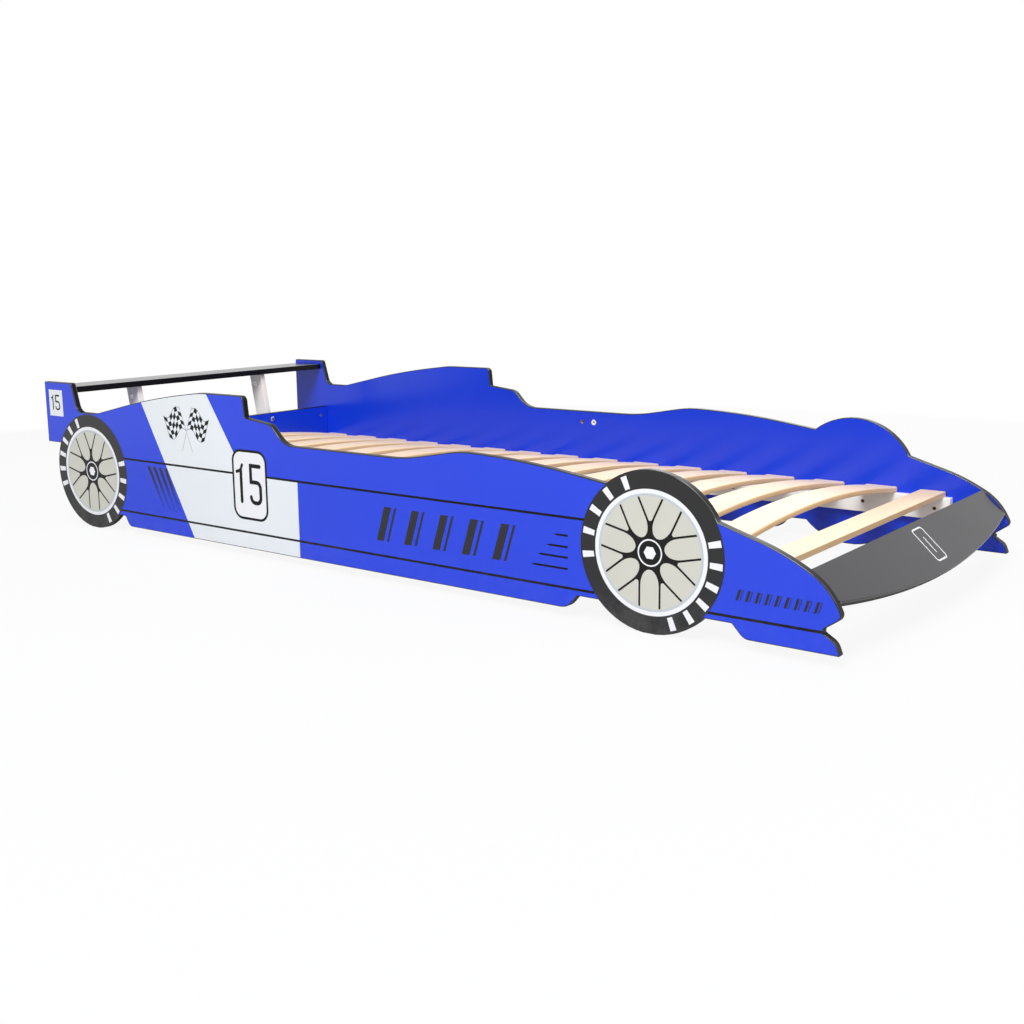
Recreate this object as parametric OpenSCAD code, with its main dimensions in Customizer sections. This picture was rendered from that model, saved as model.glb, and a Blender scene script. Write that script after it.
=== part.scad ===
// Low flat-pack bed for a child in the form of an open racing car. Two painted side boards with the
// wheels in their outline carry a headboard, a rear wing on two struts, a sloping nose board and a
// deck of sprung slats. +X points to the nose, +Z up, and the origin lies on the floor under the
// middle of the overall length and width.

/* [Side boards] */
// Length of a side board, tail to nose tip
board_len = 2250; // [2100:10:2400]
// Width over the outer faces of the side boards
bed_w = 940; // [840:10:1140]
// Height of the fins and of the hump beside the pillow
board_h = 380; // [360:5:420]
// Thickness of the painted boards
board_t = 16; // [15:0.5:22]

/* [Wheels] */
// Diameter of the wheels in the side boards' outline
wheel_d = 304; // [284:2:320]
// Rear wheel's centre, ahead of the tail
rear_wheel_inset = 192.5; // [180:0.5:210]
// Front wheel's centre, behind the nose tip
front_wheel_inset = 361; // [345:1:380]
// Depth of the flat on which each wheel stands
wheel_flat = 0.6; // [0.3:0.1:1.5]

/* [Headboard] */
// Headboard's front face, ahead of the tail
headboard_inset = 140; // [130:1:160]
// Height of the headboard's top edge above the floor
headboard_top = 235; // [220:1:260]
// Height of the headboard itself
headboard_h = 190; // [170:1:200]

/* [Rear wing] */
// Wing's depth, front to back
wing_depth = 105; // [95:1:115]
// Wing's rear edge, ahead of the tail
wing_inset = 10; // [5:0.5:14]
// Wing's top face, below the fins' top edge
wing_drop = 11; // [6:0.5:20]
// Thickness of a strut
strut_t = 17; // [16:0.5:22]
// Depth of a strut, front to back
strut_depth = 49; // [44:1:54]
// Strut's rear edge, ahead of the wing's rear edge
strut_inset = 43; // [38:1:46]
// Strut's front edge meets the headboard's rear face, above the headboard's top edge
strut_knee_rise = 1; // [0:0.5:6]
// Strut's lower end, below the headboard's top edge
strut_foot_drop = 53; // [48:1:60]
// Right strut's middle, from the bed's middle
right_strut_y = 238; // [200:1:300]
// Left strut's middle, from the bed's middle
left_strut_y = 218; // [200:1:300]

/* [Nose board] */
// Rear edge of the nose board, behind the nose tip
nose_board_inset = 60; // [56:0.5:66]
// Height of the nose board's rear edge above the floor
nose_board_top = 160.5; // [150:0.5:163]
// Slope of the nose board
nose_board_angle = 43.2; // [40:0.1:46]
// Depth of the nose board at its ends, along its slope
nose_board_depth = 72; // [66:1:78]
// How far the nose board's front edge bows out at the middle
nose_board_bow = 42; // [20:1:60]

/* [Side rails] */
// Height of the rails' top edge above the floor
rail_top = 137; // [125:1:150]
// Height of a rail
rail_h = 51; // [45:1:56]
// Thickness of a rail
rail_t = 20; // [18:0.5:26]
// Rails' front end, behind the nose tip
rail_inset = 123; // [110:1:140]

/* [Slats] */
// Number of sprung slats
slat_count = 15; // [12:1:15]
// Width of a sprung slat
slat_w = 75; // [60:1:80]
// Thickness of a sprung slat
slat_t = 13; // [11:0.5:15]
// How far a sprung slat's middle rises above its ends
slat_crown = 34; // [15:1:40]
// Gap between a slat's end and the side board
slat_end_gap = 2; // [1:0.5:6]
// Gap between the headboard and the first slat
slat_rear_gap = 12; // [8:0.5:20]
// Width of the flat slat at the foot
foot_slat_w = 57; // [45:1:70]
// Thickness of the flat slat at the foot
foot_slat_t = 12.5; // [10:0.5:15]
// Setback of the flat slat from the rails' front end
foot_slat_inset = 16; // [8:1:24]
// Gap between the flat slat and the next sprung slat
foot_slat_gap = 54; // [45:1:70]

/* [Fastenings] */
// Diameter of a cam lock
cam_d = 12; // [11:0.5:13]
// Cam lock's middle, from the face that its board butts against
cam_inset = 30; // [24:1:34]
// Diameter of a wooden dowel
dowel_d = 8; // [6:0.5:8]
// Length of a wooden dowel
dowel_len = 30; // [26:1:34]
// Spacing of neighbouring fastenings along a board's end
hole_pitch = 32; // [28:1:34]
// Headboard's cam locks, from its top and bottom edges
headboard_cam_edge = 27; // [22:1:32]
// Strut bolt's centre, below the headboard's top edge
strut_bolt_drop = 19; // [16:0.5:22]
// Diameter of a strut bolt
strut_bolt_d = 6; // [5:0.5:6]
// Diameter of a barrel nut
barrel_nut_d = 10; // [9:0.5:10]
// Diameter of a rail screw
screw_d = 4; // [3.5:0.5:5]
// Length of a rail screw
screw_len = 30; // [27:0.5:33]
// Front rail screw, from the rail's front end
screw_inset = 34; // [20:1:60]
// Second rail screw, behind the front one
screw_step = 167; // [140:1:180]
// Spacing of the other rail screws
screw_pitch = 334; // [280:1:336]
// Diameter of the plain hole at mid-length
peg_hole_d = 10; // [8:0.5:12]
// Outer diameter of the sleeve at mid-length
sleeve_d = 15; // [14:0.5:16]
// Bore of the sleeve
sleeve_bore = 8; // [7:0.5:9]
// Spacing of the hole and the sleeve
sleeve_pitch = 37; // [32:1:45]
// Height of the hole and the sleeve above the floor
sleeve_z = 246; // [225:1:250]

/* [Hidden] */
// Overrun of a cut past the face that it opens
overrun = 1;
// Gap round a fastening in its hole
fit_gap = 0.1;
// Longest straight piece that stands in for a curve in the boards' outline
curve_step = 14;
// Largest turn from one of those pieces to the next
curve_turn = 10;
$fn = 64;

// Cam bolt: thread in the board, collar, shank, neck and head
bolt_thread_r = 2.5;
bolt_collar_r = 3.6;
bolt_collar_h = 2;
bolt_shank_r = 2.9;
bolt_neck_r = 1.8;
bolt_neck_h = 3.2;
bolt_head_r = 3.2;
bolt_head_h = 2.6;
bolt_thread_share = 0.65; // of the board's thickness
// Floor that a cam leaves under its bolt's head
cam_floor = 0.9;
// Depth of the cross in a cam, and the width of its arms
cross_depth = 1.6;
cross_w = 1.5;
cross_span_share = 0.62; // of the cam's diameter
dowel_board_share = 0.6; // of the thickness of the board that it enters sideways
dowel_chamfer = 1;
screw_head_r = 4;
screw_head_h = 2.8;
screw_point_h = 4;
strut_bolt_head_r = 7.5;
strut_bolt_head_h = 2.5;
strut_bolt_grip_share = 0.5; // of the strut's foot, from the headboard to the barrel nut
strut_bolt_end = 8; // past the barrel nut's middle
barrel_nut_share = 0.82; // of the strut's thickness
strut_dowel_drop = 20; // below the strut bolt
strut_dowel_shift = 15; // ahead of the cam bolt in a strut's top
strut_corner_r = 4;
nose_dowel_shift = 22; // either side of the cam bolt, along the slope
sleeve_len_share = 0.75; // of the board's thickness

// Corners of a side board's outline, from the rear end of the sill to the nose and back over the top to
// the tail. Each row holds the place along the board as a share of its length, the height and the
// corner's radius as shares of its height.
side_outline_shares = [
    [0.1445, 0.1184, 0.026],
    [0.1509, 0.0513, 0.047],  // rear end of the sill
    [0.7594, 0.0513, 0.095],
    [0.7697, 0.1237, 0.01],   // front end of the sill
    [0.9124, 0.1237, 0.008],
    [0.9229, 0.0579, 0.063],
    [1.0006, 0.0579, 0.008],  // splitter's tip
    [0.9969, 0.1158, 0.066],
    [0.9867, 0.1526, 0.005],
    [0.9867, 0.1697, 0.008],  // notch above the front splitter
    [1.0015, 0.2321, 0.032],  // nose tip
    [0.9897, 0.3705, 0.342],
    [0.9528, 0.4889, 1.053],  // bonnet
    [0.8609, 0.6547, 0],      // hidden behind the front wheel
    [0.7142, 0.7824, 5.26],
    [0.6438, 0.795, 0.921],   // crest of the front fender
    [0.5769, 0.7237, 1.263],
    [0.4161, 0.7237, 0.171],  // low entry between the humps
    [0.397, 0.842, 0.087],
    [0.3588, 0.868, 0.008],
    [0.3564, 1, 0.032],       // step down to the entry
    [0.2872, 1, 0.79],
    [0.2067, 0.9429, 6.58],
    [0.0997, 0.8026, 0.263],  // foot of the long hump
    [0.064, 0.8026, 0.063],
    [0.0542, 1, 0.021],       // fin's top front corner
    [0, 1, 0.008],
    [0, 0.571, 0],            // lower corner of the fin
];

// Frame of the whole bed. The nose board bows out past the side boards' tips.
nose_board_reach = (nose_board_depth + nose_board_bow) * cos(nose_board_angle);
overall_len = board_len - nose_board_inset + nose_board_reach;
tail_x = -overall_len / 2;
nose_x = tail_x + board_len;
inner_w = bed_w - 2 * board_t;
wheel_z = wheel_d / 2 - wheel_flat;
rear_wheel_x = tail_x + rear_wheel_inset;
front_wheel_x = nose_x - front_wheel_inset;

headboard_front = tail_x + headboard_inset;
headboard_back = headboard_front - board_t;
headboard_bottom = headboard_top - headboard_h;

wing_back = tail_x + wing_inset;
wing_top = board_h - wing_drop;
wing_bottom = wing_top - board_t;
wing_mid = [wing_back + wing_depth / 2, wing_top - board_t / 2];

strut_back = wing_back + strut_inset;
strut_front = strut_back + strut_depth;
strut_knee_z = headboard_top + strut_knee_rise;
strut_lean = (headboard_back - strut_front) / (wing_bottom - strut_knee_z);
strut_foot_z = headboard_top - strut_foot_drop;
strut_cam = [(strut_back + strut_front) / 2, wing_bottom - cam_inset];
strut_bolt_z = headboard_top - strut_bolt_drop;
strut_bolt_foot = headboard_back - strut_back - strut_lean * (wing_bottom - strut_bolt_z);
strut_nut_x = headboard_back - strut_bolt_grip_share * strut_bolt_foot;
strut_dowel_z = strut_bolt_z - strut_dowel_drop;

nose_board_back = nose_x - nose_board_inset;
nose_bow_r = ((inner_w / 2) ^ 2 + nose_board_bow ^ 2) / (2 * nose_board_bow);

rail_front = nose_x - rail_inset;
rail_len = rail_front - headboard_front;
rail_mid_z = rail_top - rail_h / 2;
foot_slat_front = rail_front - foot_slat_inset;
first_slat_front = foot_slat_front - foot_slat_w - foot_slat_gap;
last_slat_front = headboard_front + slat_rear_gap + slat_w;
slat_pitch = (first_slat_front - last_slat_front) / (slat_count - 1);
slat_half = inner_w / 2 - slat_end_gap;
slat_span = inner_w / 2 - rail_t;
slat_bend_r = (slat_span ^ 2 + slat_crown ^ 2) / (2 * slat_crown);

screw_x = concat([rail_front - screw_inset],
                 [for (x = rail_front - screw_inset - screw_step; x > headboard_front + screw_inset;
                       x = x - screw_pitch) x]);

// Places [x, z] of the fastenings in a side board's inner face
headboard_mid_x = headboard_front - board_t / 2;
headboard_cams_at = [for (z = [headboard_top - headboard_cam_edge, headboard_bottom + headboard_cam_edge])
                     [headboard_mid_x, z]];
headboard_dowels_at = [for (z = [headboard_top - headboard_cam_edge - hole_pitch,
                                 headboard_bottom + headboard_cam_edge + hole_pitch])
                       [headboard_mid_x, z]];
wing_dowels_at = [for (s = [-1, 1]) wing_mid + [s * hole_pitch, 0]];
nose_cam_at = on_nose_board(nose_board_depth / 2);
nose_dowels_at = [for (s = [-1, 1]) on_nose_board(nose_board_depth / 2 + s * nose_dowel_shift)];
cam_bolts_at = concat(headboard_cams_at, [wing_mid, nose_cam_at]);
dowels_at = concat(headboard_dowels_at, wing_dowels_at, nose_dowels_at);
sleeve_x = (tail_x + nose_x) / 2 + sleeve_pitch;

// Point in the nose board's mid-plane, a run down its slope from the rear edge
function on_nose_board(run) = [
    nose_board_back + run * cos(nose_board_angle) - board_t / 2 * sin(nose_board_angle),
    nose_board_top - run * sin(nose_board_angle) - board_t / 2 * cos(nose_board_angle)];

function slat_name(i) = str("slat_", i < 10 ? "0" : "", i);

// Run from a corner to where an arc of radius r starts, for sides that leave the corner at a and b
function tangent_run(p, a, b, r) =
    let (u = (a - p) / norm(a - p), v = (b - p) / norm(b - p)) r / tan(acos(u * v) / 2);

// Outline of straight sides joined by tangent arcs, from corners [x, y, radius]. Arcs that would
// overlap on a side shrink in proportion.
function rounded(corners) = let (n = len(corners), xy = [for (c = corners) [c.x, c.y]],
    runs = [for (i = [0:n - 1])
        tangent_run(xy[i], xy[(i + n - 1) % n], xy[(i + 1) % n], corners[i].z)])
    [for (i = [0:n - 1]) let (
        before = (i + n - 1) % n, after = (i + 1) % n,
        run = runs[i] * min(1, norm(xy[before] - xy[i]) / max(runs[i] + runs[before], overrun),
                            norm(xy[after] - xy[i]) / max(runs[i] + runs[after], overrun)))
        each arc_at(xy[i], xy[before], xy[after], run)];

// Points of the arc that rounds corner p, tangent to the sides towards a and b at the given run
function arc_at(p, a, b, run) = run <= 0 ? [p] : let (
    u = (a - p) / norm(a - p), v = (b - p) / norm(b - p),
    half = acos(u * v) / 2,
    r = run * tan(half),
    middle = p + (u + v) / norm(u + v) * r / sin(half),
    from = p + u * run - middle,
    sweep = (u.x * v.y - u.y * v.x > 0 ? -1 : 1) * (180 - 2 * half),
    steps = ceil(max(abs(sweep) / curve_turn, abs(sweep) * PI / 180 * r / curve_step)))
    [for (k = [0:steps]) let (t = sweep * k / steps)
        middle + [from.x * cos(t) - from.y * sin(t), from.x * sin(t) + from.y * cos(t)]];

// Side board seen from its right side: the body's profile with the two wheels in it
module side_profile() {
    corners = [for (s = side_outline_shares) [tail_x + s.x * board_len, s.y * board_h, s.z * board_h]];
    fin = corners[len(corners) - 1];
    difference() {
        union() {
            polygon(rounded(concat(corners, [[rear_wheel_x, fin.y, 0], [rear_wheel_x, corners[0].y, 0]])));
            for (x = [rear_wheel_x, front_wheel_x]) translate([x, wheel_z]) circle(d = wheel_d, $fn = 180);
        }
        translate([tail_x, -wheel_d]) square([board_len, wheel_d]);
    }
}

// Right-hand side board, drilled from its inner face
module side_board() {
    difference() {
        translate([0, -inner_w / 2, 0]) rotate([90, 0, 0]) linear_extrude(board_t) side_profile();
        for (p = cam_bolts_at) drill(p, bolt_thread_r + fit_gap, board_t * bolt_thread_share + fit_gap);
        for (p = dowels_at) drill(p, dowel_d / 2 + fit_gap, board_t * dowel_board_share + fit_gap);
        for (x = screw_x) drill([x, rail_mid_z], screw_d / 2 + fit_gap, screw_len - rail_t + fit_gap);
        drill([sleeve_x, sleeve_z], sleeve_d / 2 + fit_gap, board_t * sleeve_len_share);
        drill([sleeve_x - sleeve_pitch, sleeve_z], peg_hole_d / 2, board_t * sleeve_len_share);
    }
}

// Blind hole in the right side board's inner face, at [x, z]
module drill(spot, r, depth) {
    translate([spot.x, -inner_w / 2 + overrun, spot.y]) rotate([90, 0, 0])
        cylinder(r = r, h = depth + overrun);
}

// Places a fastening at [x, z] in both side boards' inner faces, with its +Z towards the bed's middle
module at_both_sides(spots) {
    for (side = [0, 1]) mirror([0, side, 0])
        for (p = spots) translate([p.x, -inner_w / 2, p.y]) rotate([-90, 0, 0]) children();
}

// Bores in a board's end for a cam bolt and for a dowel
module cam_bolt_bore() {
    translate([0, 0, -overrun]) cylinder(r = bolt_collar_r + fit_gap, h = cam_inset + overrun);
}
module dowel_bore(depth) {
    translate([0, 0, -overrun]) cylinder(d = dowel_d + 2 * fit_gap, h = depth + fit_gap + overrun);
}

// Height of a cam in a board of thickness t, and the pocket that it fills, open at z = 0
function cam_h(t) = t / 2 + bolt_head_r + fit_gap + cam_floor;
module cam_pocket(t) {
    translate([0, 0, -cam_h(t) - fit_gap])
        cylinder(d = cam_d + 2 * fit_gap, h = cam_h(t) + fit_gap + overrun);
}

// Cam lock for a board of thickness t, its face at z = 0 and its bolt arriving from -X
module cam(t) {
    difference() {
        translate([0, 0, -cam_h(t)]) cylinder(d = cam_d, h = cam_h(t));
        translate([0, 0, -t / 2]) rotate([0, -90, 0]) {
            translate([0, 0, -bolt_head_h]) cylinder(r = bolt_head_r + fit_gap, h = 2 * bolt_head_h + cam_d / 8);
            cylinder(r = bolt_neck_r + fit_gap, h = cam_d);
        }
        for (turn = [0, 90]) rotate(turn + 45)
            translate([-cam_d * cross_span_share / 2, -cross_w / 2, -cross_depth])
                cube([cam_d * cross_span_share, cross_w, cross_depth + overrun]);
    }
}

// Cam bolt screwed into a face at z = 0, its head reaching the cam at the given run
module cam_bolt(depth, run) {
    neck_z = run - bolt_head_h / 2 - bolt_neck_h;
    rotate_extrude() polygon([
        [0, -depth], [bolt_thread_r, -depth], [bolt_thread_r, 0], [bolt_collar_r, 0],
        [bolt_collar_r, bolt_collar_h], [bolt_shank_r, bolt_collar_h], [bolt_shank_r, neck_z - overrun],
        [bolt_neck_r, neck_z], [bolt_neck_r, neck_z + bolt_neck_h], [bolt_head_r, neck_z + bolt_neck_h],
        [bolt_head_r, neck_z + bolt_neck_h + bolt_head_h], [0, neck_z + bolt_neck_h + bolt_head_h]]);
}

// Dowel with chamfered ends, sunk by the given depth below z = 0
module dowel(depth) {
    r = dowel_d / 2;
    top = dowel_len - depth;
    rotate_extrude() polygon([
        [0, -depth], [r - dowel_chamfer, -depth], [r, dowel_chamfer - depth],
        [r, top - dowel_chamfer], [r - dowel_chamfer, top], [0, top]]);
}
board_dowel_depth = board_t * dowel_board_share;

module right_side_board() color("royalblue") side_board();
module left_side_board() color("royalblue") mirror([0, 1, 0]) side_board();

module headboard() {
    color("mediumblue") difference() {
        translate([headboard_back, -inner_w / 2, headboard_bottom]) cube([board_t, inner_w, headboard_h]);
        at_both_sides(headboard_cams_at) cam_bolt_bore();
        at_both_sides(headboard_dowels_at) dowel_bore(dowel_len - board_dowel_depth);
        headboard_cams_place() cam_pocket(board_t);
        for (y = [-right_strut_y, left_strut_y]) {
            translate([headboard_back - overrun, y, strut_bolt_z]) rotate([0, 90, 0])
                cylinder(d = strut_bolt_d + 2 * fit_gap, h = board_t + 2 * overrun);
            translate([headboard_back, y, strut_dowel_z]) rotate([0, 90, 0])
                dowel_bore(board_dowel_depth);
        }
    }
}
module headboard_cams_place() {
    for (side = [0, 1]) mirror([0, side, 0]) for (p = headboard_cams_at)
        translate([headboard_front, cam_inset - inner_w / 2, p.y]) rotate([90, 0, 90]) children();
}
module headboard_cams() color("silver") headboard_cams_place() cam(board_t);
module headboard_cam_bolts()
    color("silver") at_both_sides(headboard_cams_at) cam_bolt(board_t * bolt_thread_share, cam_inset);
module headboard_dowels() color("burlywood") at_both_sides(headboard_dowels_at) dowel(board_dowel_depth);

module rear_wing() {
    color("black") difference() {
        translate([wing_back, -inner_w / 2, wing_bottom]) cube([wing_depth, inner_w, board_t]);
        at_both_sides([wing_mid]) cam_bolt_bore();
        at_both_sides(wing_dowels_at) dowel_bore(dowel_len - board_dowel_depth);
        wing_cams_place() cam_pocket(board_t);
        strut_tops() {
            translate([0, 0, -board_t * bolt_thread_share - fit_gap])
                cylinder(r = bolt_thread_r + fit_gap, h = board_t * bolt_thread_share + fit_gap + overrun);
            translate([strut_dowel_shift, 0, -board_dowel_depth - fit_gap])
                cylinder(d = dowel_d + 2 * fit_gap, h = board_dowel_depth + fit_gap + overrun);
        }
    }
}
module wing_cams_place() {
    for (side = [0, 1]) mirror([0, side, 0])
        translate([wing_mid.x, cam_inset - inner_w / 2, wing_bottom]) rotate([180, 0, 90]) children();
}
module wing_cams() color("silver") wing_cams_place() cam(board_t);
module wing_cam_bolts()
    color("silver") at_both_sides([wing_mid]) cam_bolt(board_t * bolt_thread_share, cam_inset);
module wing_dowels() color("burlywood") at_both_sides(wing_dowels_at) dowel(board_dowel_depth);

// Tops of both struts at the wing's underside, with +Z pointing down into the strut
module strut_tops() {
    for (y = [-right_strut_y, left_strut_y])
        translate([strut_cam.x, y, wing_bottom]) rotate([180, 0, 0]) children();
}

// Leaning strut whose foot is cut flush against the headboard's rear face
module strut(y) {
    foot_back = strut_back + strut_lean * (wing_bottom - strut_foot_z);
    color("white") difference() {
        translate([0, y + strut_t / 2, 0]) rotate([90, 0, 0]) linear_extrude(strut_t) polygon(rounded([
            [strut_back, wing_bottom, 0], [strut_front, wing_bottom, 0],
            [headboard_back, strut_knee_z, 0], [headboard_back, strut_foot_z, 0],
            [foot_back, strut_foot_z, strut_corner_r]]));
        strut_tops() {
            cam_bolt_bore();
            translate([strut_dowel_shift, 0, 0]) dowel_bore(dowel_len - board_dowel_depth);
        }
        strut_cams_place() cam_pocket(strut_t);
        translate([headboard_back + overrun, y, strut_bolt_z]) rotate([0, -90, 0])
            cylinder(d = strut_bolt_d + 2 * fit_gap,
                     h = headboard_back - strut_nut_x + strut_bolt_end + 2 * overrun);
        translate([headboard_back, y, strut_dowel_z]) rotate([0, -90, 0])
            dowel_bore(dowel_len - board_dowel_depth);
        translate([strut_nut_x, y - strut_t / 2 - overrun, strut_bolt_z]) rotate([-90, 0, 0])
            cylinder(d = barrel_nut_d + 2 * fit_gap,
                     h = strut_t * (1 + barrel_nut_share) / 2 + fit_gap + overrun);
    }
}
module right_wing_strut() strut(-right_strut_y);
module left_wing_strut() strut(left_strut_y);
module strut_cams_place() {
    for (y = [-right_strut_y, left_strut_y])
        translate([strut_cam.x, y - strut_t / 2, strut_cam.y]) rotate([90, 90, 0]) children();
}
module strut_cams() color("silver") strut_cams_place() cam(strut_t);
module strut_cam_bolts() color("silver") strut_tops() cam_bolt(board_t * bolt_thread_share, cam_inset);
module strut_dowels() {
    color("burlywood") {
        strut_tops() translate([strut_dowel_shift, 0, 0]) dowel(board_dowel_depth);
        for (y = [-right_strut_y, left_strut_y])
            translate([headboard_back, y, strut_dowel_z]) rotate([0, -90, 0]) dowel(board_dowel_depth);
    }
}
module strut_bolts() {
    shank = headboard_front - strut_nut_x + strut_bolt_end;
    color("silver") for (y = [-right_strut_y, left_strut_y])
        translate([headboard_front, y, strut_bolt_z]) rotate([0, -90, 0]) {
            cylinder(d = strut_bolt_d, h = shank);
            translate([0, 0, -strut_bolt_head_h / 2]) cylinder(r = strut_bolt_head_r, h = strut_bolt_head_h / 2);
            translate([0, 0, -strut_bolt_head_h])
                cylinder(r1 = strut_bolt_head_r * 0.8, r2 = strut_bolt_head_r, h = strut_bolt_head_h / 2);
        }
}
module strut_barrel_nuts() {
    nut_len = strut_t * barrel_nut_share;
    color("silver") for (y = [-right_strut_y, left_strut_y]) difference() {
        translate([strut_nut_x, y - nut_len / 2, strut_bolt_z]) rotate([-90, 0, 0])
            cylinder(d = barrel_nut_d, h = nut_len);
        translate([strut_nut_x - barrel_nut_d, y, strut_bolt_z]) rotate([0, 90, 0])
            cylinder(d = strut_bolt_d + 2 * fit_gap, h = 2 * barrel_nut_d);
    }
}

// Places children in the nose board's own frame: x down its slope, z out of its top face
module on_slope() {
    translate([nose_board_back, 0, nose_board_top]) rotate([0, nose_board_angle, 0]) children();
}
module nose_board() {
    color("dimgray") difference() {
        on_slope() translate([0, 0, -board_t]) linear_extrude(board_t) intersection() {
            translate([0, -inner_w / 2]) square([nose_board_depth + nose_board_bow, inner_w]);
            translate([nose_board_depth + nose_board_bow - nose_bow_r, 0]) circle(r = nose_bow_r, $fn = 360);
        }
        at_both_sides([nose_cam_at]) cam_bolt_bore();
        at_both_sides(nose_dowels_at) dowel_bore(dowel_len - board_dowel_depth);
        nose_cams_place() cam_pocket(board_t);
    }
}
module nose_cams_place() {
    on_slope() for (side = [0, 1]) mirror([0, side, 0])
        translate([nose_board_depth / 2, cam_inset - inner_w / 2, -board_t]) rotate([180, 0, 90]) children();
}
module nose_cams() color("silver") nose_cams_place() cam(board_t);
module nose_cam_bolts()
    color("silver") at_both_sides([nose_cam_at]) cam_bolt(board_t * bolt_thread_share, cam_inset);
module nose_dowels() color("burlywood") at_both_sides(nose_dowels_at) dowel(board_dowel_depth);

// Countersunk screw with its head's face at z = 0 and its point below, grown all round by a gap
module screw(grow) {
    r = screw_d / 2 + grow;
    rotate_extrude() polygon([
        [0, 0], [screw_head_r + grow, 0], [r, -screw_head_h], [r, screw_point_h - screw_len],
        [0, -screw_len - grow]]);
}
module rail_screws() {
    color("dimgray") for (side = [0, 1]) mirror([0, side, 0]) for (x = screw_x)
        translate([x, rail_t - inner_w / 2, rail_mid_z]) rotate([-90, 0, 0]) screw(0);
}

// Rail screwed to the right side board's inner face
module side_rail() {
    color("whitesmoke") difference() {
        translate([headboard_front, -inner_w / 2, rail_top - rail_h]) cube([rail_len, rail_t, rail_h]);
        for (x = screw_x) translate([x, rail_t - inner_w / 2, rail_mid_z]) rotate([90, 0, 0]) {
            cylinder(d = screw_d + 2 * fit_gap, h = rail_t + overrun);
            translate([0, 0, -overrun]) cylinder(r = screw_head_r + fit_gap, h = overrun);
            cylinder(r1 = screw_head_r + fit_gap, r2 = screw_d / 2 + fit_gap, h = screw_head_h);
        }
    }
}
module right_side_rail() side_rail();
module left_side_rail() mirror([0, 1, 0]) side_rail();

// Bent slat number i, counted from the foot: level ends on the rails and an arc between them
module slat(i) {
    x = first_slat_front - slat_w - (i - 1) * slat_pitch;
    color("wheat") translate([x, 0, rail_top]) rotate([90, 0, 90]) linear_extrude(slat_w) difference() {
        union() {
            translate([-slat_half, 0]) square([2 * slat_half, slat_t]);
            intersection() {
                translate([-slat_span, 0]) square([2 * slat_span, slat_crown + slat_t]);
                translate([0, slat_crown + slat_t - slat_bend_r]) circle(r = slat_bend_r, $fn = 360);
            }
        }
        translate([0, slat_crown - slat_bend_r]) circle(r = slat_bend_r, $fn = 360);
    }
}
module foot_slat() {
    color("burlywood") translate([foot_slat_front - foot_slat_w, -slat_half, rail_top])
        cube([foot_slat_w, 2 * slat_half, foot_slat_t]);
}

// White sleeves let into the side boards at mid-length
module side_sleeves() {
    color("white") at_both_sides([[sleeve_x, sleeve_z]]) difference() {
        translate([0, 0, fit_gap - board_t * sleeve_len_share])
            cylinder(d = sleeve_d, h = board_t * sleeve_len_share - fit_gap);
        translate([0, 0, -board_t]) cylinder(d = sleeve_bore, h = board_t + overrun);
    }
}

right_side_board();
left_side_board();
headboard();
rear_wing();
right_wing_strut();
left_wing_strut();
nose_board();
right_side_rail();
left_side_rail();
foot_slat();
for (i = [1:slat_count]) slat(i);
rail_screws();
headboard_cams();
headboard_cam_bolts();
headboard_dowels();
wing_cams();
wing_cam_bolts();
wing_dowels();
strut_cams();
strut_cam_bolts();
strut_dowels();
strut_bolts();
strut_barrel_nuts();
nose_cams();
nose_cam_bolts();
nose_dowels();
side_sleeves();
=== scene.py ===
# %% [markdown]
# # A child's bed in the form of a racing car
# The bed is flat-pack furniture. Two painted boards have the outline of an open racing car, and a
# headboard, a rear wing, a nose board and a deck of sprung slats join them. Its construction comes from
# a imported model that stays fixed, and this lesson gives each piece its finish, its eased edges, its
# printed graphics and its grain. Lengths are metres, +X points to the nose and +Z up.

# %% Load the fixed model
import math

import bmesh
import bpy
from mathutils import Matrix, Vector


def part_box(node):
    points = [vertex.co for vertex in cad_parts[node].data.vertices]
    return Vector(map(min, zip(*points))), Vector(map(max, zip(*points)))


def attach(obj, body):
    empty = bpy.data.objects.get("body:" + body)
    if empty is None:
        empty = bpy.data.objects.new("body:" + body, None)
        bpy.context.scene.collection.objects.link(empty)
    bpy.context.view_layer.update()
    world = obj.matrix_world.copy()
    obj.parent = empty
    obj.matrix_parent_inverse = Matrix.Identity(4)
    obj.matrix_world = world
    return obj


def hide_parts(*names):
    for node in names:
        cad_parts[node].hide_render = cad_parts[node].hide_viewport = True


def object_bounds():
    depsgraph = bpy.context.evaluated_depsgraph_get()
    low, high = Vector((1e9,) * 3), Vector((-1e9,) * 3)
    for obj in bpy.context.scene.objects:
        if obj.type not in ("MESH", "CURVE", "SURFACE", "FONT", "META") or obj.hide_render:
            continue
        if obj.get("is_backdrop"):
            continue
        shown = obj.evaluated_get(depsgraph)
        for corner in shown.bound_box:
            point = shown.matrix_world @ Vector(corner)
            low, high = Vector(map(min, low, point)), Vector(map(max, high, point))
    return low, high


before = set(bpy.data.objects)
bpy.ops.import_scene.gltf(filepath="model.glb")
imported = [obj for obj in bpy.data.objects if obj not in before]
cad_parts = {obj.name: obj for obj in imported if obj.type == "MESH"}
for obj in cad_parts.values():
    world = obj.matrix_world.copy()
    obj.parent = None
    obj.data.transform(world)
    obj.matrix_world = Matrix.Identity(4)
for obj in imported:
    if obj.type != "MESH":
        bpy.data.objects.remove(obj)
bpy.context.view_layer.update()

MM = 0.001

# %% [markdown]
# ## The camera
# The photograph was taken from just above a seated child's eyes, off the bed's nose. The camera's place
# and its three turns were fitted to the corners of the side boards. The lens shift does what cropping the
# photograph did, so that the bed keeps its place in the picture without bending its perspective.

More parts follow.
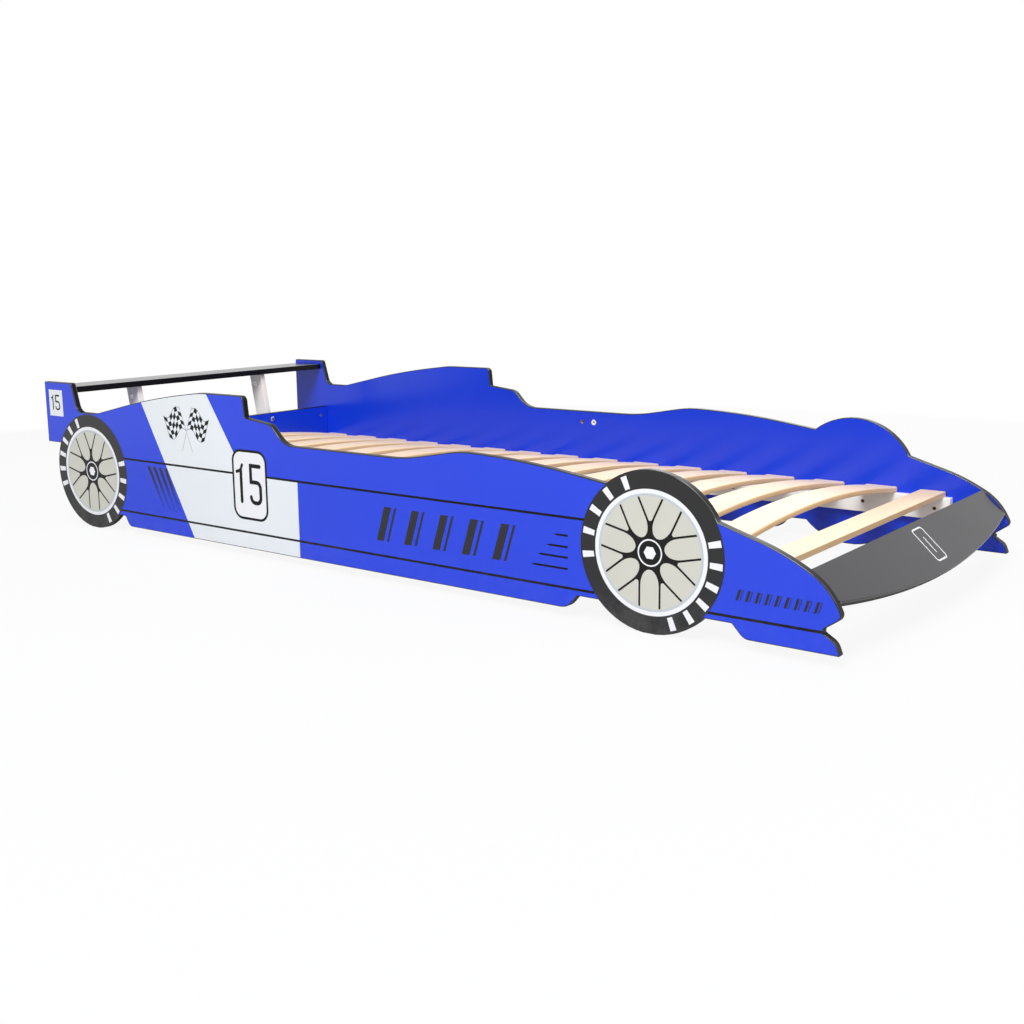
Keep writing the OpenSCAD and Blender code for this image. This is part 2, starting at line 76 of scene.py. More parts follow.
# %% Camera
CAMERA_PLACE = (1.886, -2.3814, 0.6587)
PAN, TILT, ROLL = 38.795, 79.779, -0.894
turn = (Matrix.Rotation(math.radians(PAN), 3, "Z") @ Matrix.Rotation(math.radians(TILT), 3, "X")
        @ Matrix.Rotation(math.radians(ROLL), 3, "Z"))
bpy.ops.object.camera_add(location=CAMERA_PLACE, rotation=turn.to_euler())
camera = bpy.context.object
camera.data.sensor_width = 36
camera.data.lens = 43.97
camera.data.shift_x = 0.0365
camera.data.shift_y = -0.0163
bpy.context.scene.camera = camera
print("camera", round(math.dist(CAMERA_PLACE, (0, 0, 0)), 2), "m from the bed's middle")

# %% [markdown]
# ## Picking and shaping by code
# An operator acts on whatever is selected, so each step first clears the selection and then picks its own
# faces or edges by their place. A few helpers do that for every piece: they pick elements in edit mode,
# add a block between two corners, copy a node's mesh, apply a modifier at once, ease edges and make cuts.
# The last two read where the separate solids of a node lie.

# %% Helpers for shaping
MERGE = 0.002 * MM
NEAR = 0.1 * MM


def rest():
    """Object mode with nothing selected."""
    if bpy.context.object and bpy.context.object.mode != "OBJECT":
        bpy.ops.object.mode_set(mode="OBJECT")
    bpy.ops.object.select_all(action="DESELECT")


def hold(piece):
    """One piece alone is selected and active."""
    rest()
    piece.select_set(True)
    bpy.context.view_layer.objects.active = piece
    return piece


def pick(piece, kind, wanted):
    """Edit mode with only those of the piece's VERT, EDGE or FACE elements picked that are wanted."""
    hold(piece)
    bpy.ops.object.mode_set(mode="EDIT")
    bpy.ops.mesh.select_mode(type=kind)
    bpy.ops.mesh.select_all(action="DESELECT")
    shape = bmesh.from_edit_mesh(piece.data)
    elements = {"VERT": shape.verts, "EDGE": shape.edges, "FACE": shape.faces}[kind]
    for element in elements:
        if wanted(element):
            element.select_set(True)
    shape.select_flush_mode()
    bmesh.update_edit_mesh(piece.data)


def pick_all(piece):
    """Edit mode with every face picked."""
    pick(piece, "FACE", lambda face: True)


def block(name, low, high):
    """A box between two corners, to be shaped further."""
    rest()
    low, high = Vector(low), Vector(high)
    bpy.ops.mesh.primitive_cube_add(size=1, location=(low + high) / 2)
    piece = bpy.context.object
    piece.name = piece.data.name = name
    piece.scale = high - low
    bpy.ops.object.transform_apply(location=True, rotation=True, scale=True)
    return piece


def new_piece(name, data):
    """An object in the scene for a mesh or a curve."""
    piece = bpy.data.objects.new(name, data)
    bpy.context.scene.collection.objects.link(piece)
    return piece


def copy_node(node):
    """A copy of a node's mesh, without materials and with its loose triangles merged."""
    piece = new_piece(node + "_copy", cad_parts[node].data.copy())
    piece.data.materials.clear()
    pick_all(piece)
    bpy.ops.mesh.remove_doubles(threshold=MERGE)
    rest()
    return piece


def keep_one_face(piece, unwanted):
    """Deletes the unwanted faces and joins the others into one flat face."""
    pick(piece, "FACE", unwanted)
    bpy.ops.mesh.delete(type="FACE")
    bpy.ops.mesh.select_all(action="SELECT")
    bpy.ops.mesh.dissolve_faces()
    rest()


def apply_modifier(piece, kind, **settings):
    """Adds a modifier with its settings and applies it at once."""
    hold(piece)
    modifier = piece.modifiers.new(kind.lower(), kind)
    for setting, value in settings.items():
        setattr(modifier, setting, value)
    bpy.ops.object.modifier_apply(modifier=modifier.name)


def tidy_normals(piece):
    """Doubles merged and every face turned outwards."""
    pick_all(piece)
    bpy.ops.mesh.remove_doubles(threshold=MERGE)
    bpy.ops.mesh.normals_make_consistent(inside=False)
    rest()


def soften(piece, angle=35):
    """Smooth shading over the eased edges, while the large flat faces stay flat."""
    hold(piece)
    bpy.ops.object.shade_smooth_by_angle(angle=math.radians(angle))
    apply_modifier(piece, "WEIGHTED_NORMAL", keep_sharp=True, weight=60)


def ease(piece, width, segments=3, wanted=lambda edge: edge.calc_face_angle(0) > math.radians(40)):
    """Rounds the wanted edges, by default all the sharp ones."""
    pick(piece, "EDGE", wanted)
    bpy.ops.mesh.bevel(offset=width, segments=segments, affect="EDGES", clamp_overlap=False)
    rest()


def cut(piece, *cutters):
    """Takes the cutters' space out of the piece. The faces that a cut leaves keep the cutter's material."""
    for cutter in cutters:
        apply_modifier(piece, "BOOLEAN", operation="DIFFERENCE", solver="EXACT", object=cutter,
                       material_mode="TRANSFER")
        bpy.data.objects.remove(cutter)


def solids_of(node):
    """Lowest and highest corner of each separate solid in a node, from the foot to the nose."""
    shape = bmesh.new()
    shape.from_mesh(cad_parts[node].data)
    bmesh.ops.remove_doubles(shape, verts=shape.verts, dist=0.001 * MM)
    left, boxes = set(shape.verts), []
    while left:
        group, edge_of_group = set(), {left.pop()}
        while edge_of_group:
            group |= edge_of_group
            edge_of_group = {e.other_vert(v) for v in edge_of_group for e in v.link_edges} - group
        left -= group
        boxes.append([Vector(reach(v.co[axis] for v in group) for axis in range(3))
                      for reach in (min, max)])
    shape.free()
    return sorted(boxes, key=lambda box: tuple(box[0]))


def from_right(node):
    """The same boxes, from the bed's right side to its left."""
    return sorted(solids_of(node), key=lambda box: box[0].y)


# %% [markdown]
# ## Paint, wood and dust as shared effects
# Several finishes need the same effects: the slight unevenness of a sprayed film, the fibres, pores and
# growth bands of wood, and dust near the floor. Each effect is a node group with named inputs, built once,
# and each material sets its own values. The groups give colours and numbers only, and the shader itself
# stays in the material, where the export can read it.


# %% Helpers for shader nodes
def wire(tree, kind, settings=None, **sockets):
    """A shader node. A socket gets a value, or a link where it is given another node's output."""
    made = tree.nodes.new("ShaderNode" + kind)
    for setting, value in (settings or {}).items():
        setattr(made, setting, value)
    for name, value in sockets.items():
        connect(tree, made.inputs[name.replace("_", " ")], value)
    return made


def connect(tree, socket, value):
    if isinstance(value, bpy.types.NodeSocket):
        tree.links.new(value, socket)
    else:
        socket.default_value = value


def maths(tree, operation, a, b=0.0, c=0.0):
    made = tree.nodes.new("ShaderNodeMath")
    made.operation = operation
    for socket, value in zip(made.inputs, (a, b, c)):
        connect(tree, socket, value)
    return made.outputs[0]


def blend_colour(tree, share, a, b):
    made = tree.nodes.new("ShaderNodeMix")
    made.data_type = "RGBA"
    for index, value in ((0, share), (6, a), (7, b)):
        connect(tree, made.inputs[index], value)
    return made.outputs[2]


def remap(tree, value, low, high, to_low=0.0, to_high=1.0):
    made = wire(tree, "MapRange", Value=value, From_Min=low, From_Max=high, To_Min=to_low, To_Max=to_high)
    return made.outputs[0]


def start_group(name, inputs, outputs):
    """An empty node group with (name, kind, default) inputs and (name, kind) outputs."""
    group = bpy.data.node_groups.new(name, "ShaderNodeTree")
    for title, kind, default in inputs:
        socket = group.interface.new_socket(title, in_out="INPUT", socket_type="NodeSocket" + kind)
        if default is not None:
            socket.default_value = default
    for title, kind in outputs:
        group.interface.new_socket(title, in_out="OUTPUT", socket_type="NodeSocket" + kind)
    return group, group.nodes.new("NodeGroupInput").outputs, group.nodes.new("NodeGroupOutput").inputs


def linear(red, green, blue):
    """A colour as a screen shows it, 0 to 255, in the linear values that a shader takes."""
    shares = (channel / 255 for channel in (red, green, blue))
    return tuple(s / 12.92 if s <= 0.04045 else ((s + 0.055) / 1.055) ** 2.4 for s in shares) + (1.0,)


# %% [markdown]
# A sprayed and rolled film is never quite even. Its colour drifts by a few parts in a hundred over a hand's
# width, its gloss changes a little where it was wiped, and its surface has the fine ripple that painters
# call orange peel. One group gives all three.

# %% Paint film group
film, film_in, film_out = start_group(
    "Paint film",
    [("Vector", "Vector", None), ("Colour", "Color", (0.5, 0.5, 0.5, 1)), ("Roughness", "Float", 0.3),
     ("Drift", "Float", 0.05), ("Ripple scale", "Float", 420.0)],
    [("Colour", "Color"), ("Roughness", "Float"), ("Height", "Float")])
broad = wire(film, "TexNoise", Vector=film_in["Vector"], Scale=4.0, Detail=3.0, Roughness=0.55)
drift = remap(film, broad.outputs["Fac"], 0.3, 0.7, -1.0, 1.0)
value = maths(film, "MULTIPLY_ADD", drift, film_in["Drift"], 1.0)
tinted = wire(film, "HueSaturation", Value=value, Color=film_in["Colour"])
wiped = wire(film, "TexNoise", Vector=film_in["Vector"], Scale=7.0, Detail=2.0, Roughness=0.5)
gloss = maths(film, "ADD", film_in["Roughness"], remap(film, wiped.outputs["Fac"], 0.3, 0.7, -0.012, 0.012))
ripple = wire(film, "TexNoise", Vector=film_in["Vector"], Scale=film_in["Ripple scale"], Detail=2.0)
film.links.new(tinted.outputs["Color"], film_out["Colour"])
film.links.new(gloss, film_out["Roughness"])
film.links.new(ripple.outputs["Fac"], film_out["Height"])
print(film.name, "has", len(film.nodes), "nodes")

# %% [markdown]
# Birch veneer is pale and even. Close to, it has long fibres, short brown pores and faint growth bands
# that wander along the grain. The group expects the grain to run along its own X, and a Mapping node in
# each material turns it to lie along the piece.

# %% Wood grain group
grain, grain_in, grain_out = start_group(
    "Wood grain",
    [("Vector", "Vector", None), ("Pale", "Color", (0.8, 0.7, 0.5, 1)),
     ("Dark", "Color", (0.6, 0.4, 0.2, 1)), ("Bands", "Float", 0.5), ("Pores", "Float", 0.5),
     ("Roughness", "Float", 0.5)],
    [("Colour", "Color"), ("Roughness", "Float"), ("Height", "Float")])


def stretched(along, across):
    """The group's vector, scaled along the grain and across it."""
    placed = wire(grain, "Mapping", Vector=grain_in["Vector"], Scale=(along, across, across))
    return placed.outputs["Vector"]


tone = wire(grain, "TexNoise", Vector=stretched(1.3, 9), Scale=1.0, Detail=2.0).outputs["Fac"]
fibre = wire(grain, "TexNoise", Vector=stretched(7, 420), Scale=1.0, Detail=4.0,
             Roughness=0.65).outputs["Fac"]
pore = wire(grain, "TexNoise", Vector=stretched(55, 1500), Scale=1.0, Detail=1.0).outputs["Fac"]
bands = wire(grain, "TexWave", {"wave_type": "BANDS", "bands_direction": "Y", "wave_profile": "SIN"},
             Vector=stretched(0.9, 16), Scale=1.3, Distortion=7.0, Detail=3.0, Detail_Scale=0.7,
             Detail_Roughness=0.55).outputs["Fac"]
band_share = maths(grain, "MULTIPLY", maths(grain, "POWER", bands, 2.2), grain_in["Bands"])
fibre_share = remap(grain, fibre, 0.35, 0.75, 0.0, 0.22)
tone_share = remap(grain, tone, 0.25, 0.75, -0.1, 0.14)
darkness = maths(grain, "ADD", maths(grain, "ADD", band_share, fibre_share), tone_share)
wood = blend_colour(grain, darkness, grain_in["Pale"], grain_in["Dark"])
pore_share = maths(grain, "MULTIPLY", remap(grain, pore, 0.68, 0.8), grain_in["Pores"])
pored = blend_colour(grain, pore_share, wood, (0.30, 0.17, 0.08, 1))
height = maths(grain, "SUBTRACT", fibre, maths(grain, "MULTIPLY", pore_share, 0.6))
grain.links.new(pored, grain_out["Colour"])
grain.links.new(maths(grain, "ADD", grain_in["Roughness"], remap(grain, fibre, 0.3, 0.7, -0.05, 0.06)),
                grain_out["Roughness"])
grain.links.new(height, grain_out["Height"])
print(grain.name, "has", len(grain.nodes), "nodes")

# %% [markdown]
# Handling leaves a little grey dust and dulls a board most along its lower edge. A group mixes that in by
# height above the floor, and the paints that reach down there share it.

# %% Floor dust group
dust, dust_in, dust_out = start_group(
    "Floor dust",
    [("Vector", "Vector", None), ("Colour", "Color", (0.5, 0.5, 0.5, 1)), ("Amount", "Float", 0.1)],
    [("Colour", "Color"), ("Share", "Float")])
up = wire(dust, "SeparateXYZ", Vector=dust_in["Vector"]).outputs["Z"]
patch = wire(dust, "TexNoise", Vector=dust_in["Vector"], Scale=26.0, Detail=6.0, Roughness=0.7)
patchy = remap(dust, patch.outputs["Fac"], 0.4, 0.75)
low_down = remap(dust, up, 0.09, 0.0)
share = maths(dust, "MULTIPLY", maths(dust, "MULTIPLY", low_down, patchy), dust_in["Amount"])
dust.links.new(blend_colour(dust, share, dust_in["Colour"], (0.55, 0.53, 0.5, 1)), dust_out["Colour"])
dust.links.new(share, dust_out["Share"])
print(dust.name, "has", len(dust.nodes), "nodes")

# %% [markdown]
# Each kind of finish has a maker. It starts a material on Object coordinates, which stay with the piece,
# places the groups in it and feeds colour, gloss and relief to the shader. The strength of the mirror
# reflection is the same all over a finish, so it is set on the shader's own socket.


# %% Material makers
def start_material(name):
    material = bpy.data.materials.new(name)
    material.use_nodes = True
    tree = material.node_tree
    place = wire(tree, "TexCoord").outputs["Object"]
    return material, tree, tree.nodes["Principled BSDF"], place


def use_group(tree, group, **sockets):
    made = tree.nodes.new("ShaderNodeGroup")
    made.node_tree = group
    for name, value in sockets.items():
        connect(tree, made.inputs[name.replace("_", " ")], value)
    return made.outputs


def finish_surface(tree, shader, colour, roughness, height, bump, depth):
    """Feeds a finish's colour, gloss and relief to the shader."""
    relief = wire(tree, "Bump", Strength=bump, Distance=depth, Height=height)
    tree.links.new(colour, shader.inputs["Base Color"])
    tree.links.new(roughness, shader.inputs["Roughness"])
    tree.links.new(relief.outputs["Normal"], shader.inputs["Normal"])


def painted(name, colour, roughness, drift=0.04, ripple=420.0, bump=0.05, shine=0.5, dusty=0.12):
    """A paint or printing ink under lacquer. The shine is the strength of its mirror reflection."""
    material, tree, shader, place = start_material(name)
    paint = use_group(tree, film, Vector=place, Colour=linear(*colour), Roughness=roughness, Drift=drift,
                      Ripple_scale=ripple)
    dusted = use_group(tree, dust, Vector=place, Colour=paint["Colour"], Amount=dusty)
    dull = maths(tree, "MULTIPLY_ADD", dusted["Share"], 0.5, paint["Roughness"])
    finish_surface(tree, shader, dusted["Colour"], dull, paint["Height"], bump, 0.1 * MM)
    shader.inputs["Specular IOR Level"].default_value = shine
    return material


def wooden(name, pale, dark, bands=0.4, pores=0.5, roughness=0.5, bump=0.25):
    """Bare wood, with its grain across the bed."""
    material, tree, shader, place = start_material(name)
    along = wire(tree, "Mapping", Vector=place, Rotation=(0, 0, math.radians(-90))).outputs["Vector"]
    wood = use_group(tree, grain, Vector=along, Pale=linear(*pale), Dark=linear(*dark), Bands=bands,
                     Pores=pores, Roughness=roughness)
    finish_surface(tree, shader, wood["Colour"], wood["Roughness"], wood["Height"], bump, 0.15 * MM)
    return material, tree, shader, wood


# %% [markdown]
# ## The paints
# The boards are sprayed in a strong blue. A dull black foil covers their narrow edges, and the rounded
# rims beside it are lacquered black and shine. The graphics are printed in white, black, charcoal and pale
# greys, with nearly one gloss, and the black inks mirror less. The wing is a deeper, glossier black, which
# is why it mirrors the white room at a low angle.

# %% Paint materials
blue_paint = painted("Blue lacquer", (15, 57, 210), 0.22, drift=0.02, dusty=0.03)
edge_paint = painted("Black edge foil", (8, 8, 9), 0.38, drift=0.08, ripple=700.0, shine=0.14)
rim_paint = painted("Black rim lacquer", (10, 10, 11), 0.16, drift=0.05, ripple=700.0, shine=0.6)
white_ink = painted("White print", (222, 227, 231), 0.3, drift=0.01)
black_ink = painted("Black print", (6, 6, 7), 0.3, shine=0.2)
charcoal_ink = painted("Charcoal print", (16, 16, 17), 0.3, drift=0.05)
spoke_ink = painted("Spoke print", (12, 10, 9), 0.3, shine=0.25)
rim_ink = painted("Rim grey print", (197, 197, 186), 0.32, drift=0.02)
ring_ink = painted("Rim white print", (229, 230, 233), 0.3, drift=0.01)
shade_ink = painted("Rim shade print", (184, 190, 197), 0.3, drift=0.01)
pole_ink = painted("Pole grey print", (186, 190, 194), 0.3)
wing_paint = painted("Black gloss lacquer", (9, 9, 11), 0.2, drift=0.04, ripple=160.0, bump=0.012, dusty=0)
wing_edge_paint = painted("Black edge lacquer", (6, 6, 8), 0.35, ripple=260.0, shine=0.12, dusty=0)
grey_paint = painted("Dark grey lacquer", (36, 35, 39), 0.3, drift=0.03)
white_paint = painted("White furniture paint", (240, 237, 232), 0.38, drift=0.015, ripple=520.0, dusty=0)
bare_board, _, _, _ = wooden("Bare fibreboard", (205, 176, 132), (176, 142, 98), bands=0.1, pores=0.1,
                             roughness=0.8)
print(len(bpy.data.materials), "materials with the frame's own")

# %% [markdown]
# The slats are birch plywood, and the flat one at the foot is a little yellower. Their faces are pale
# veneer with the grain along the slat, and their long edges show the plies as thin lines, because every
# second ply turns its end grain outwards. A number from 0 to 1, kept on each vertex, says how far up
# through the plies it lies.

# %% Wood materials
PLIES = 7


def plywood(name, pale, dark):
    """Veneer on the faces, plies in the long edges."""
    material, tree, shader, wood = wooden(name, pale, dark, bands=0.16, pores=0.3, roughness=0.46)
    depth = wire(tree, "Attribute", {"attribute_name": "ply"}).outputs["Fac"]
    in_ply = maths(tree, "FRACT", maths(tree, "MULTIPLY", depth, PLIES / 2))
    cross_ply = maths(tree, "GREATER_THAN", in_ply, 0.5)
    seam = maths(tree, "LESS_THAN", maths(tree, "ABSOLUTE", maths(tree, "SUBTRACT", in_ply, 0.5)), 0.05)
    facing = wire(tree, "NewGeometry").outputs["Normal"]
    sideways = maths(tree, "ABSOLUTE", wire(tree, "SeparateXYZ", Vector=facing).outputs["X"])
    on_edge = maths(tree, "GREATER_THAN", sideways, 0.75)
    tan = blend_colour(tree, 0.7, wood["Colour"], linear(250, 208, 154))
    plies = blend_colour(tree, maths(tree, "MULTIPLY", cross_ply, 0.3), tan, linear(216, 178, 134))
    lined = blend_colour(tree, maths(tree, "MULTIPLY", seam, 0.35), plies, linear(176, 132, 90))
    coloured = blend_colour(tree, on_edge, wood["Colour"], lined)
    tree.links.new(coloured, shader.inputs["Base Color"])
    shader.inputs["Specular IOR Level"].default_value = 0.3
    return material


birch = plywood("Birch plywood", (241, 217, 187), (221, 187, 148))
yellow_birch = plywood("Yellow birch plywood", (234, 208, 172), (213, 176, 132))
beech, _, _, _ = wooden("Beech dowel", (214, 172, 126), (176, 128, 86), bands=0.2, pores=0.8, roughness=0.6)
print(PLIES, "plies in", birch.name)

# %% [markdown]
# Zinc-plated fittings and browned screws are bare metal. Their gloss is broken by fine scratches and their
# tone by faint blotches.

# %% Metal
SCRATCHES = 0.06


def metal(name, colour, roughness):
    material, tree, shader, place = start_material(name)
    shader.inputs["Metallic"].default_value = 1.0
    scratch = wire(tree, "TexNoise", Vector=place, Scale=900.0, Detail=5.0, Roughness=0.7).outputs["Fac"]
    blotch = wire(tree, "TexNoise", Vector=place, Scale=160.0, Detail=3.0).outputs["Fac"]
    tone = blend_colour(tree, remap(tree, blotch, 0.3, 0.7), linear(*colour),
                        linear(*(channel * 0.82 for channel in colour)))
    rough = maths(tree, "ADD", roughness, remap(tree, scratch, 0.3, 0.7, -SCRATCHES, SCRATCHES))
    finish_surface(tree, shader, tone, rough, scratch, 0.2, 0.05 * MM)
    return material


# %% [markdown]
# ## The stage
# The photograph stands on a white ground with no room round it. The floor is a pale matt plane. Where the
# camera sees it, it is nine tenths white near the bed, which keeps a soft shadow, and plain white further
# away, so that it melts into the white world. The lamps and the world still light the bed at a plain level.

# %% Floor and world
FLOOR_SIZE = 60
WHITE_FROM, WHITE_BEYOND = 1.3, 3.2
NEAR_WHITE = 0.9
ROOM_LIGHT = 0.2


def plain_rays(tree):
    """Marks of the rays from the camera, and of those together with the rays off glossy faces."""
    rays = wire(tree, "LightPath").outputs
    return rays["Is Camera Ray"], maths(tree, "MAXIMUM", rays["Is Camera Ray"], rays["Is Glossy Ray"])


rest()
bpy.ops.mesh.primitive_plane_add(size=FLOOR_SIZE)
floor = bpy.context.object
floor.name = "studio_floor"
floor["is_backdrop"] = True
floor_finish, floor_tree, floor_shader, floor_place = start_material("Pale studio floor")
floor_shader.inputs["Base Color"].default_value = (0.62, 0.62, 0.63, 1)
floor_shader.inputs["Roughness"].default_value = 0.9
glow = wire(floor_tree, "Emission", Color=(1, 1, 1, 1), Strength=1.0).outputs[0]
reach = wire(floor_tree, "VectorMath", {"operation": "LENGTH"}, Vector=floor_place).outputs["Value"]
away = remap(floor_tree, reach, WHITE_FROM, WHITE_BEYOND)
from_camera, seen = plain_rays(floor_tree)
near_white = maths(floor_tree, "MULTIPLY", from_camera, NEAR_WHITE)
white_share = maths(floor_tree, "MULTIPLY", maths(floor_tree, "MAXIMUM", away, near_white), seen)
mixed = wire(floor_tree, "MixShader", Fac=white_share)
floor_tree.links.new(floor_shader.outputs[0], mixed.inputs[1])
floor_tree.links.new(glow, mixed.inputs[2])
floor_tree.links.new(mixed.outputs[0], floor_tree.nodes["Material Output"].inputs["Surface"])
floor.data.materials.append(floor_finish)

world = bpy.data.worlds.new("White studio")
bpy.context.scene.world = world
world.use_nodes = True
sky = world.node_tree
sky.nodes.clear()
_, seen = plain_rays(sky)
level = remap(sky, seen, 0.0, 1.0, ROOM_LIGHT, 1.0)
backdrop = wire(sky, "Background", Color=(1, 1, 1, 1), Strength=level)
wire(sky, "OutputWorld", Surface=backdrop.outputs[0])
print("the room gives", ROOM_LIGHT, "of white light")

# %% [markdown]
# Four large soft lamps stand in for the studio's light boxes. The strongest hangs high in front of the near
# side, and far enough off to light both ends of a slat alike. One is overhead, one lies past the nose and
# one lights the far side. High lamps give the deep shade under the slats that the photograph shows.


# %% Lamps
def soft_lamp(name, place, target, size, power):
    bpy.ops.object.light_add(type="AREA", location=place)
    lamp = bpy.context.object
    lamp.name = name
    lamp.data.shape = "SQUARE"
    lamp.data.size = size
    lamp.data.energy = power
    lamp.rotation_euler = (Vector(target) - Vector(place)).to_track_quat("-Z", "Y").to_euler()


soft_lamp("overhead_box", (0.3, 0.1, 3.2), (0.1, 0, 0.2), 2.4, 24)
soft_lamp("front_box", (1.3, -4.6, 5.1), (0, -0.3, 0.2), 2.8, 440)
soft_lamp("nose_box", (3.2, -0.7, 2.2), (0.6, 0, 0.2), 1.6, 32)
soft_lamp("back_box", (-0.6, 3.4, 1.9), (0, 0.2, 0.2), 2.0, 40)
bpy.context.scene.view_settings.view_transform = "Standard"
print(len(bpy.data.lights), "lamps")


# %% [markdown]
# ## Handing a piece over
# Every finished piece gets its name and materials, rides on the bed's one body, and hides the construction
# nodes that it stands for. A print has no slot in the record.

# %% Hand over a piece
made_pieces = []


def coat(piece, *materials):
    """Gives a piece its materials, in the order of their numbers."""
    piece.data.materials.clear()
    for material in materials:
        piece.data.materials.append(material)


def hand_over(piece, name, slot, *nodes):
    """Names a piece, sets it on the bed's one body and hides the nodes that it stands for. The slot is not
    used.
    """
    piece.name = piece.data.name = name
    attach(piece, "root")
    if nodes:
        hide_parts(*nodes)
    made_pieces.append(name)


def paint_faces(piece, number, wanted):
    """Gives the wanted faces the material of that number."""
    for face in piece.data.polygons:
        if wanted(face):
            face.material_index = number


def coat_board(piece, paint, across):
    """Paint on a board's large faces, foil on its flat edges and lacquer on its eased rims."""
    coat(piece, paint, edge_paint, rim_paint)
    paint_faces(piece, 1, lambda face: abs(face.normal.dot(across)) < 0.05)
    paint_faces(piece, 2, lambda face: 0.05 <= abs(face.normal.dot(across)) < 0.999)


# %% [markdown]
# ## The side boards
# Each side board is one painted board with a long, lively outline. The outline could be drawn again, but
# the construction already holds it exactly. So a merged copy of the node gives its outer face, which is
# joined into one flat face, extruded to the board's thickness, and eased round its rim. The outer face
# lies a hair inside the node's, and the graphics fill that hair. The large faces are blue, black foil
# covers the edge, and the eased rim between them is black lacquer, which catches a thin line of light.

# %% Sizes that both side boards share
RIGHT, LEFT = -1, 1
side_names = {RIGHT: "right", LEFT: "left"}
INK_LAYER = 0.05 * MM
INK_LAYERS = 6
INK_ROOM = INK_LAYER * INK_LAYERS
RIM_EASE = 2.2 * MM
right_low, right_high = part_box("right_side_board")
BOARD_MIDDLE = (right_low.x + right_high.x) / 2
HALF_WIDTH = -right_low.y
HALF_INNER = -right_high.y
BODY_T = HALF_WIDTH - HALF_INNER - INK_ROOM
print("side board", round((right_high.x - right_low.x) / MM), "mm long")
print("under the ink it is", round(BODY_T / MM, 2), "mm thick")


# %% Shape a side board
def side_panel(node, side):
    """The board's body, made from its node's outer face."""
    panel = copy_node(node)
    keep_one_face(panel, lambda face: face.normal.y * side < 0.99
                  or abs(face.calc_center_median().y) < HALF_WIDTH - NEAR)
    pick_all(panel)
    bpy.ops.transform.translate(value=(0, -side * INK_ROOM, 0))
    bpy.ops.mesh.extrude_region_move(TRANSFORM_OT_translate={"value": (0, -side * BODY_T, 0)})
    rest()
    tidy_normals(panel)
    ease(panel, RIM_EASE, 3, lambda edge: abs(edge.verts[0].co.y - edge.verts[1].co.y) < NEAR)
    return panel


panels = {side: side_panel(name + "_side_board", side) for side, name in side_names.items()}
for side, panel in panels.items():
    print(side_names[side], "board has", len(panel.data.vertices), "vertices")

# %% [markdown]
# At mid-length each inner face has a plain hole and, beside it, a hole with a white sleeve in it. Both are
# cut with round cutters, whose own material stays on the cut, so that the bare fibreboard shows inside.
# The fittings in the other boards get their pockets in the same way, with a little room round them.

# %% Holes in the inner faces
PEG_HOLE_R = 5 * MM
PEG_HOLE_DEPTH = 12 * MM
FIT_GAP = 0.1 * MM


def round_cutter(place, radius, length, axis):
    """A round cutter centred on a place, along X, Y or Z."""
    rest()
    turns = {"X": (0, math.radians(90), 0), "Y": (math.radians(90), 0, 0), "Z": (0, 0, 0)}
    bpy.ops.mesh.primitive_cylinder_add(vertices=48, radius=radius, depth=length, location=place,
                                        rotation=turns[axis])
    cutter = bpy.context.object
    bpy.ops.object.transform_apply(location=True, rotation=True, scale=True)
    coat(cutter, bare_board)
    return cutter


def pocket(piece, place, radius, length, axis):
    """A hole for a fitting of that radius. Half of the length goes into the piece."""
    cut(piece, round_cutter(place, radius + FIT_GAP, length, axis))


for side, (low, high) in zip(panels, from_right("side_sleeves")):
    panel, name = panels[side], side_names[side]
    middle = (low + high) / 2
    middle.y = side * HALF_INNER
    coat_board(panel, blue_paint, Vector((0, 1, 0)))
    pocket(panel, middle, (high.x - low.x) / 2, 2 * PEG_HOLE_DEPTH, "Y")
    cut(panel, round_cutter((BOARD_MIDDLE, middle.y, middle.z), PEG_HOLE_R, 2 * PEG_HOLE_DEPTH, "Y"))
    soften(panel)
    hand_over(panel, name + "_side_panel", "board_blue", name + "_side_board")
    print(panel.name, "has", len(panel.data.polygons), "faces")

# %% [markdown]
# ## The printed graphics
# Paint and print have almost no thickness, but a decal that lies exactly in the board's face would flicker.
# So each motif is a thin closed slab of ink, and the inks lie in layers a twentieth of a millimetre apart:
# the white field at the bottom, stripes on it, then the tyres and the number plate, then what is on them.
# A motif is drawn as flat outlines in millimetres along the board and up from the floor. A filled curve
# turns them into a face, with any outline inside another as a hole.


# %% Helpers for flat outlines
def flat_sheet(name, outlines):
    """A flat face that looks along +Z, from outlines of points in millimetres."""
    rest()
    drawing = bpy.data.curves.new(name, "CURVE")
    drawing.dimensions = "2D"
    drawing.fill_mode = "BOTH"
    for outline in outlines:
        spline = drawing.splines.new("POLY")
        spline.points.add(len(outline) - 1)
        for point, (along, up) in zip(spline.points, outline):
            point.co = (along, up, 0, 1)
        spline.use_cyclic_u = True
    sheet = new_piece(name, drawing)
    hold(sheet)
    bpy.ops.object.convert(target="MESH")
    return bpy.context.object


def close_slab(sheet, way):
    """Extrudes a flat sheet to a closed slab with flat shading."""
    pick_all(sheet)
    bpy.ops.mesh.remove_doubles(threshold=MERGE)
    bpy.ops.mesh.extrude_region_move(TRANSFORM_OT_translate={"value": way})
    bpy.ops.mesh.select_all(action="SELECT")
    bpy.ops.mesh.normals_make_consistent(inside=False)
    hold(sheet)
    bpy.ops.object.shade_flat()


def thicken(sheet, place, turn, way):
    """Sets a sheet that is drawn in millimetres in its place and makes it a slab."""
    hold(sheet)
    sheet.scale = (MM, MM, MM)
    sheet.rotation_euler = turn
    sheet.location = place
    bpy.ops.object.transform_apply(location=True, rotation=True, scale=True)
    close_slab(sheet, way)


